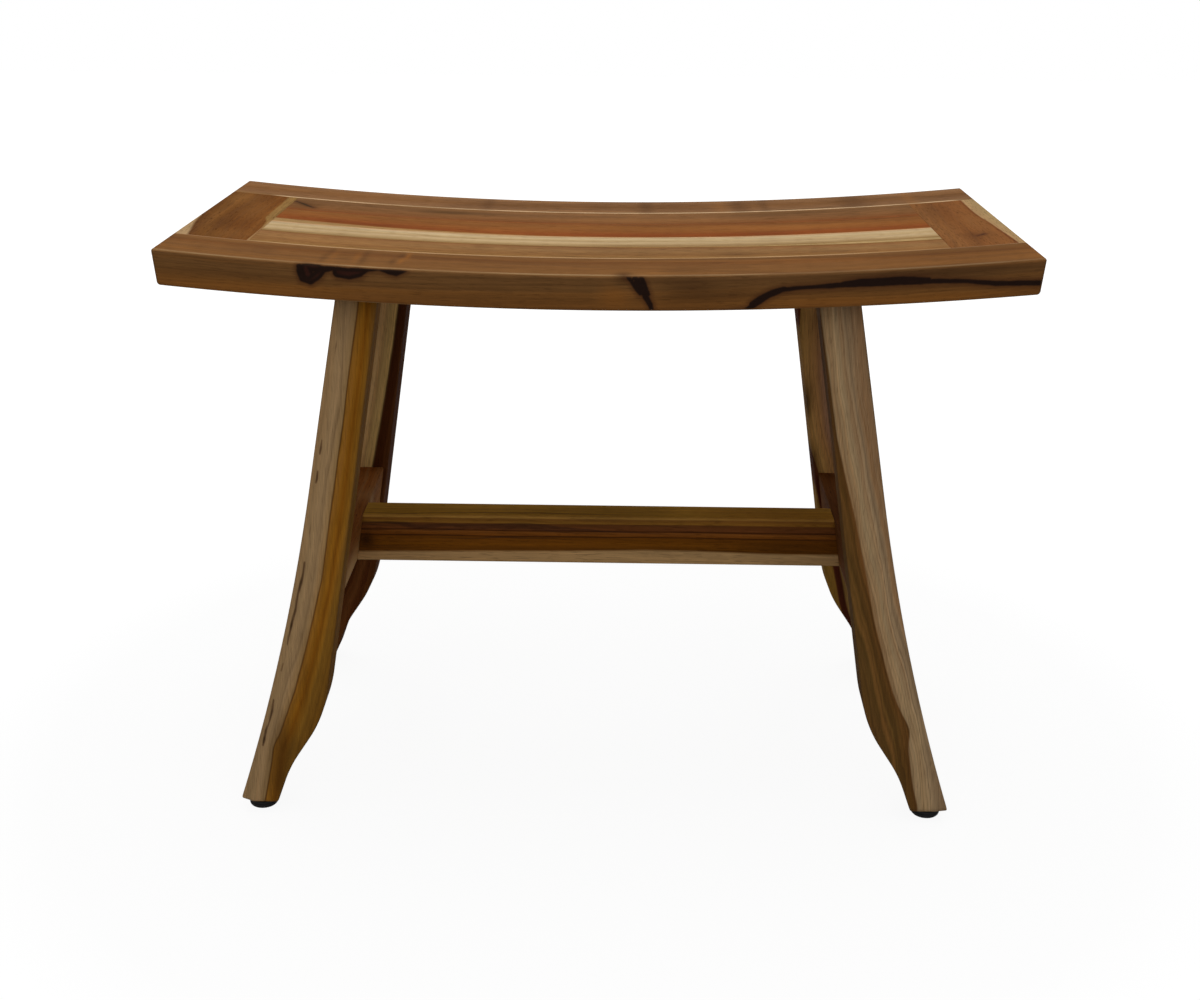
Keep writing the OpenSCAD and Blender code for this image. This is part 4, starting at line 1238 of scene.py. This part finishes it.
def centre_stretcher_mesh(wood, look):
    """The bar between the side stretchers, its ends cut to their lean."""
    node = "centre_stretcher"
    lo, hi = box(node)
    low, high = lo.z + 6, hi.z - 6
    end_x, slope = leaning_face(node, 0.72 * hi.y, low, high, IN)
    ease = look.bar_ease / MM
    reach = end_x + slope * (lo.z - low)
    size = (2 * reach, hi.z - lo.z, hi.y - lo.y)
    (u, v, w), end, edge = block(size, (0.3, 0.3), (0.4 * ease, ease), look.mesh_step / MM * 0.6)
    z = lo.z + v
    x = (u - reach) * (end_x + slope * (z - low)) / reach
    # The bar is cut so that its top shows the wood that lies above the front face's bands
    past_edge = np.maximum(v + ease - size[1], 0) / ease
    across = v + past_edge**2 * 0.35 * (size[2] - w)
    grain = np.stack([x, across, w], axis=-1)
    return skin(node, np.stack([x, hi.y - w, z], axis=-1), grain, wood, end, edge)


class BENCH_OT_stretchers(bpy.types.Operator):
    """Builds the two side stretchers, the centre stretcher and the wooden plugs"""

    bl_idname = "bench.stretchers"
    bl_label = "Stretchers"

    def execute(self, context):
        look = the_look()
        for label, wood in (("left", LEFT_SIDE_STRETCHER), ("right", RIGHT_SIDE_STRETCHER)):
            node = label + "_side_stretcher"
            mesh = side_stretcher_mesh(SIDES[label], wood, look)
            material = teak(node + "_teak", wood, look)
            show(node + "_wood", mesh, BENCH, [node], material)
        mesh = centre_stretcher_mesh(CENTRE_STRETCHER, look)
        show("centre_stretcher_wood", mesh, BENCH, ["centre_stretcher"],
             teak("teak_centre_stretcher", CENTRE_STRETCHER, look))
        self.plugs(look)
        return {"FINISHED"}

    def plugs(self, look):
        """Plugs trimmed almost flush with the outer faces of the side stretchers."""
        node = "stretcher_plugs"
        lo, hi = box(node)
        z = (lo.z + hi.z) / 2
        radius = (hi.y - lo.y) / 2
        probed = 3
        face_x, slope = leaning_face(node, 0, z - probed, z + probed, IN)
        face_x += slope * probed
        profile = [(0, -6), (radius, -6), (radius, -0.15), (radius - 0.25, 0.15), (0.6 * radius, 0.3),
                   (0, 0.35)]
        turned = finish_mesh("plug", lathe(profile, (0, 0), 40))
        places = [(side * face_x * MM, 0, z * MM) for side in (1, -1)]
        tilt = math.radians(90) - math.atan(slope)
        mesh = fasten(node, turned, places, tilt, teak("teak_plugs", PLUG_WOOD, look))
        x, y, up = np.array([v.co for v in mesh.vertices]).T / MM
        flat = np.zeros_like(x)
        describe(mesh, np.stack([y, up - z, np.abs(x)], axis=1), PLUG_WOOD, flat, flat)
        show("stretcher_plugs_wood", mesh, BENCH, [node])


def cleat_mesh(side, wood, look):
    """A flat batten under the seat, front to back between two legs."""
    clearance, end_ease, ease = 0.2, 0.5, 1.2
    reach = LEG.gap(CLEAT.bottom) - clearance
    size = (2 * reach, CLEAT.width, CLEAT.thick)
    (u, v, w), end, edge = block(size, (end_ease, end_ease), (ease, ease), look.mesh_step / MM * 1.4)
    off = v - CLEAT.width / 2
    x = CLEAT.x + off * math.cos(CLEAT.tilt) - w * math.sin(CLEAT.tilt)
    z = CLEAT.bottom + off * math.sin(CLEAT.tilt) + w * math.cos(CLEAT.tilt)
    y = (u - reach) * (LEG.gap(z) - clearance) / reach
    grain = np.stack([u - reach, v, w], axis=-1)
    return skin("cleat", np.stack([side * x, y, z], axis=-1), grain, wood, end, edge)


def screw_mesh(head_r, shank_r, length, recess_span, recess_w, recess_depth):
    """A countersunk screw pointing up from z = 0, with a cross recess in its slightly domed head."""
    dome, floor_share = 0.12, 0.6
    cone = head_r - shank_r
    profile = [(head_r - 0.3, -dome), (head_r, 0.05), (shank_r, cone), (shank_r, length - 3 * shank_r),
               (0, length)]
    bm = lathe(profile, (0, 0), 32)
    rim = open_edges(bm)
    long, short = recess_span / 2 * MM, recess_w / 2 * MM
    cross = [(long, -short), (long, short), (short, short), (short, long), (-short, long), (-short, short)]
    cross += [(-x, -y) for x, y in cross]
    mouth = [bm.verts.new((x, y, -dome * MM)) for x, y in cross]
    floor = [bm.verts.new((floor_share * x, floor_share * y, recess_depth * MM)) for x, y in cross]
    for i in range(len(cross)):
        j = (i + 1) % len(cross)
        bm.faces.new((mouth[i], mouth[j], floor[j], floor[i]))
        rim.append(bm.edges.get((mouth[i], mouth[j])))
    bm.faces.new(floor)
    bmesh.ops.triangle_fill(bm, use_beauty=True, edges=rim)
    return finish_mesh("screw", bm, 30)


class BENCH_OT_cleats(bpy.types.Operator):
    """Builds the two cleats under the seat and their screws"""

    bl_idname = "bench.cleats"
    bl_label = "Cleats and screws"

    def execute(self, context):
        look = the_look()
        material = teak("teak_cleats", CLEAT_WOOD, look)
        for label, side in SIDES.items():
            mesh = cleat_mesh(side, CLEAT_WOOD, look)
            show(label + "_cleat_wood", mesh, BENCH, [label + "_cleat"], material)
        self.screws()
        return {"FINISHED"}

    def screws(self):
        """Screws at the places of the CAD ones, found as separate islands of their node."""
        places = []
        for centre in island_centres("cleat_screws"):
            z = CLEAT.bottom + (abs(centre.x) - CLEAT.x) * CLEAT.slope
            places.append(Vector((centre.x, centre.y, z)) * MM)
        screw = screw_mesh(head_r=4.5, shank_r=2.25, length=27,
                           recess_span=4.2, recess_w=1.2, recess_depth=1.3)
        steel = metal("stainless_machined", "#9a9ca0", "#c2c4c8", 0.3, 0.5)
        mesh = fasten("cleat_screws", screw, places, -CLEAT.tilt, steel)
        show("cleat_screws_steel", mesh, BENCH, ["cleat_screws"])


def island_centres(node):
    """Middle of the lowest face ring of each separate solid of a CAD node, in millimetres."""
    bm = bmesh.new()
    bm.from_mesh(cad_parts[node].data)
    bmesh.ops.remove_doubles(bm, verts=bm.verts, dist=0.01 * MM)
    left = set(bm.verts)
    centres = []
    while left:
        group, edge = set(), [left.pop()]
        while edge:
            vert = edge.pop()
            group.add(vert)
            for link in vert.link_edges:
                other = link.other_vert(vert)
                if other in left:
                    left.discard(other)
                    edge.append(other)
        lowest = min(v.co.z for v in group)
        low = [v.co for v in group if v.co.z < lowest + 1.2 * MM]
        centres.append(sum(low, Vector()) / len(low) / MM)
    bm.free()
    return sorted(centres, key=lambda c: (round(c.x), round(c.y)))


class BENCH_OT_feet(bpy.types.Operator):
    """Builds the levelling feet: rubber pads, threaded stems and brass inserts"""

    bl_idname = "bench.feet"
    bl_label = "Levelling feet"

    def execute(self, context):
        look = the_look()
        black = rubber(look)
        steel = metal("stainless_rolled", "#84868b", "#a6a8ad", 0.34, 0.25)
        thread = thread_tree()
        for corner in CORNERS:
            centre = FOOT.centre(corner)
            pad = finish_mesh(corner + "_pad", lathe(self.pad_profile(), centre, 64), 35)
            show(corner + "_pad_rubber", pad, corner + "_pad", [corner + "_pad"], black)
            start = Vector((*centre, FOOT.collar_top)) * MM
            values = {"Crest radius": FOOT.stem_r * MM, "Pitch": look.thread_pitch,
                      "Length": (FOOT.stem_top - FOOT.collar_top - 1) * MM, "Start": start, "Material": steel}
            core = finish_mesh(corner + "_core", self.stem(centre, look.thread_pitch / MM), 30)
            stem = grow(corner + "_stem", core, thread, values)
            show(corner + "_stem_steel", stem, corner + "_stem", [corner + "_stem"])
        self.inserts()
        return {"FINISHED"}

    def pad_profile(self):
        """Half section of a pad: ringed sole, grip groove round it and the swivel's cavity."""
        r, top = FOOT.pad_r, FOOT.pad_top
        cavity_r, neck_r, clearance = 5.2, FOOT.stem_r + 0.2, 0.2
        groove, slant = 0.5, 0.3
        profile = [(0, groove), (2, groove), (2 + slant, 0)]
        for start, stop in ((3.6, 5.0), (6.3, 7.5)):
            profile += [(start, 0), (start + slant, groove), (stop - slant, groove), (stop, 0)]
        ease = 3.0
        for a in np.radians([0, 18, 36, 54, 72, 90]):
            profile.append((r - ease + ease * math.sin(a), ease - ease * math.cos(a)))
        grip_r = r - 0.35
        profile += [(r, 3.9), (grip_r, 4.1), (grip_r, 4.5), (r, 4.7), (r, top - 0.6), (r - 0.2, top - 0.2)]
        profile += [(r - 0.7, top), (neck_r + 0.3, top), (neck_r, top - 0.3)]
        ceiling, floor = FOOT.disc_top + clearance, FOOT.disc_bottom - clearance
        return profile + [(neck_r, ceiling), (cavity_r, ceiling), (cavity_r, floor), (0, floor)]

    def stem(self, centre, pitch):
        """Swivel disc, shank, chamfered spanner collar and the core of the thread."""
        r, core_r = FOOT.stem_r, FOOT.stem_r - 2 * RIDGE_SHARE * pitch
        disc_r, ease = 5.0, 0.2
        bottom, disc_top = FOOT.disc_bottom, FOOT.disc_top
        low, high, top = FOOT.collar_bottom, FOOT.collar_top, FOOT.stem_top
        point = 0.8
        bm = lathe([(0, bottom), (disc_r - ease, bottom), (disc_r, bottom + ease), (disc_r, disc_top - ease),
                    (disc_r - ease, disc_top), (r, disc_top), (r, low + 0.5), (r, high), (core_r, high),
                    (core_r, top - point), (core_r - point, top), (0, top)], centre, 40)
        # The collar has six sides with turned corners
        corner_r, chamfer = FOOT.collar_r, 0.35
        face_r = 0.86 * corner_r
        profile = [(face_r, low), (corner_r, low + chamfer), (corner_r, high - chamfer), (face_r, high)]
        collar = lathe(profile, centre, 6)
        bmesh.ops.holes_fill(collar, edges=open_edges(collar), sides=6)
        join(bm, collar)
        return bm

    def inserts(self):
        """Brass sleeves with a thin flange, one in the end of each leg."""
        bore, r, thin = FOOT.stem_r + 0.05, FOOT.insert_r, 0.12
        low, top = FOOT.insert_bottom, FOOT.insert_top
        profile = [(bore, top), (bore, low + 0.4), (bore + 0.4, low - thin), (r + 0.9, low - thin),
                   (r + 1.1, low), (r, low + 0.02), (r, top), (bore, top)]
        sleeves = bmesh.new()
        for corner in CORNERS:
            join(sleeves, lathe(profile, FOOT.centre(corner), 40))
        bmesh.ops.remove_doubles(sleeves, verts=sleeves.verts, dist=0.001 * MM)
        brass = metal("brass_machined", "#8f7231", "#c2a052", 0.3, 0.3)
        mesh = finish_mesh("foot_inserts", sleeves)
        show("foot_inserts_brass", mesh, BENCH, ["foot_inserts"], brass)


class BENCH_OT_joinery(bpy.types.Operator):
    """Gives the hidden dowels, splines and long screws of the CAD frame their materials"""

    bl_idname = "bench.joinery"
    bl_label = "Hidden joinery"

    def execute(self, context):
        beech = hardwood_dowel()
        steel = metal("stainless_long_screws", "#9a9ca0", "#c2c4c8", 0.3, 0.5)
        finishes = {
            "seat_splines": beech, "end_board_dowels": beech, "cleat_dowels": beech,
            "leg_dowels": beech, "stretcher_dowels": beech, "stretcher_screws": steel,
        }
        for node, material in finishes.items():
            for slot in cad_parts[node].material_slots:
                slot.material = material
        return {"FINISHED"}


def seen_rays(tree):
    """How much of the white background a ray sees: all of it straight from the camera or through
    glass, and a part of it in reflections, as more would veil the satin wood."""
    path = add(tree, "ShaderNodeLightPath").outputs
    mirrored = weigh(tree, path["Is Transmission Ray"], (0.15, path["Is Glossy Ray"]))
    return add(tree, MATH, (path["Is Camera Ray"], mirrored), operation="MAXIMUM")


class BENCH_OT_stage(bpy.types.Operator):
    """Builds the pale floor, the studio lights, the white surroundings and the camera"""

    bl_idname = "bench.stage"
    bl_label = "Stage"

    def execute(self, context):
        look = the_look()
        self.floor()
        self.lights(look)
        self.sky(look)
        self.camera()
        bpy.context.scene.view_settings.view_transform = "Standard"
        return {"FINISHED"}

    def floor(self):
        """A wide plain floor that looks white and still takes the bench's soft shadow."""
        mesh = bpy.data.meshes.new("floor")
        half = 6.0
        mesh.from_pydata([(-half, -half, 0), (half, -half, 0), (half, half, 0), (-half, half, 0)], [],
                         [(0, 1, 2, 3)])
        floor = new_object("floor", mesh)
        material, tree, shader = new_material("floor_matt_white", Roughness=0.9)
        glow = add(tree, "ShaderNodeEmission", {"Color": (1, 1, 1, 1), "Strength": 1.16})
        # The white is full from 1.2 m off the middle, and weaker near the bench, where its shadow lies
        place = add(tree, "ShaderNodeTexCoord").outputs["Object"]
        away = add(tree, VECTOR_MATH, [place], operation="LENGTH")
        fade = add(tree, MAP_RANGE, (away, 0.45, 1.2, 0.8, 1.0))
        share = add(tree, MATH, (seen_rays(tree), fade), operation="MULTIPLY")
        both = add(tree, "ShaderNodeMixShader", (share, shader, glow))
        output = next(node for node in tree.nodes if node.bl_idname == "ShaderNodeOutputMaterial")
        fill(tree, shader, {"Base Color": to_linear("#b4b4b4")})
        fill(tree, output, {"Surface": both})
        mesh.materials.append(material)

    def lights(self, look):
        """One large light above, one weaker light in front; both are soft boxes. Places in metres."""
        boxes = {
            "key": ((0.0, 0.3, 2.2), (0, 0, 0.3), 2.0, look.key_power),
            "fill": ((0.0, -2.2, 2.0), (0, 0, 0.25), 2.5, look.fill_power),
        }
        for name, (place, aim, size, power) in boxes.items():
            data = bpy.data.lights.new(name, "AREA")
            data.energy = power
            data.size = size
            lamp = new_object(name, data)
            lamp.location = place
            lamp.rotation_euler = (Vector(aim) - Vector(place)).to_track_quat("-Z", "Y").to_euler()

    def sky(self, look):
        """Even dim light from all round; the camera sees plain white there."""
        world = bpy.data.worlds.new("studio")
        world.use_nodes = True
        tree = world.node_tree
        tree.nodes.clear()
        dim, white = [add(tree, "ShaderNodeBackground", {"Color": (1, 1, 1, 1), "Strength": strength})
                      for strength in (look.sky, 1.0)]
        both = add(tree, "ShaderNodeMixShader", (seen_rays(tree), dim, white))
        add(tree, "ShaderNodeOutputWorld", {"Surface": both})
        bpy.context.scene.world = world

    def camera(self):
        """The photograph's view, found by fitting a camera to the seat's corners, seams and legs."""
        photo_width, focal_px, sensor = 1200, 1619.6, 36.0
        eye = Vector((18.3, -1243.6, 654.9)) * MM
        yaw, pitch, roll = 0.01381, 0.34546, 0.0083
        data = bpy.data.cameras.new("camera")
        data.sensor_width = sensor
        data.lens = focal_px / photo_width * sensor
        data.clip_end = 50
        camera = new_object("camera", data)
        turn = Matrix.Rotation(yaw, 4, "Z") @ Matrix.Rotation(math.pi / 2 - pitch, 4, "X")
        camera.matrix_world = Matrix.Translation(eye) @ turn @ Matrix.Rotation(roll, 4, "Z")
        bpy.context.scene.camera = camera


OPERATORS = (
    BENCH_OT_seat, BENCH_OT_legs, BENCH_OT_stretchers, BENCH_OT_cleats, BENCH_OT_feet, BENCH_OT_joinery,
    BENCH_OT_stage,
)


class BENCH_PT_panel(bpy.types.Panel):
    """Lists the steps that build the bench, with their sizes"""

    bl_idname = "BENCH_PT_panel"
    bl_label = "Teak shower bench"
    bl_space_type = "VIEW_3D"
    bl_region_type = "UI"
    bl_category = "Bench"

    def draw(self, context):
        for name in BenchLook.__annotations__:
            self.layout.prop(context.scene.bench_look, name)
        for operator in OPERATORS:
            self.layout.operator(operator.bl_idname)


CLASSES = (BenchLook, *OPERATORS, BENCH_PT_panel)


def register():
    for item in CLASSES:
        bpy.utils.register_class(item)
    bpy.types.Scene.bench_look = bpy.props.PointerProperty(type=BenchLook)


def unregister():
    del bpy.types.Scene.bench_look
    for item in reversed(CLASSES):
        bpy.utils.unregister_class(item)


def main():
    register()
    for operator in OPERATORS:
        group, name = operator.bl_idname.split(".")
        getattr(getattr(bpy.ops, group), name)()


if __name__ == "__main__":
    main()
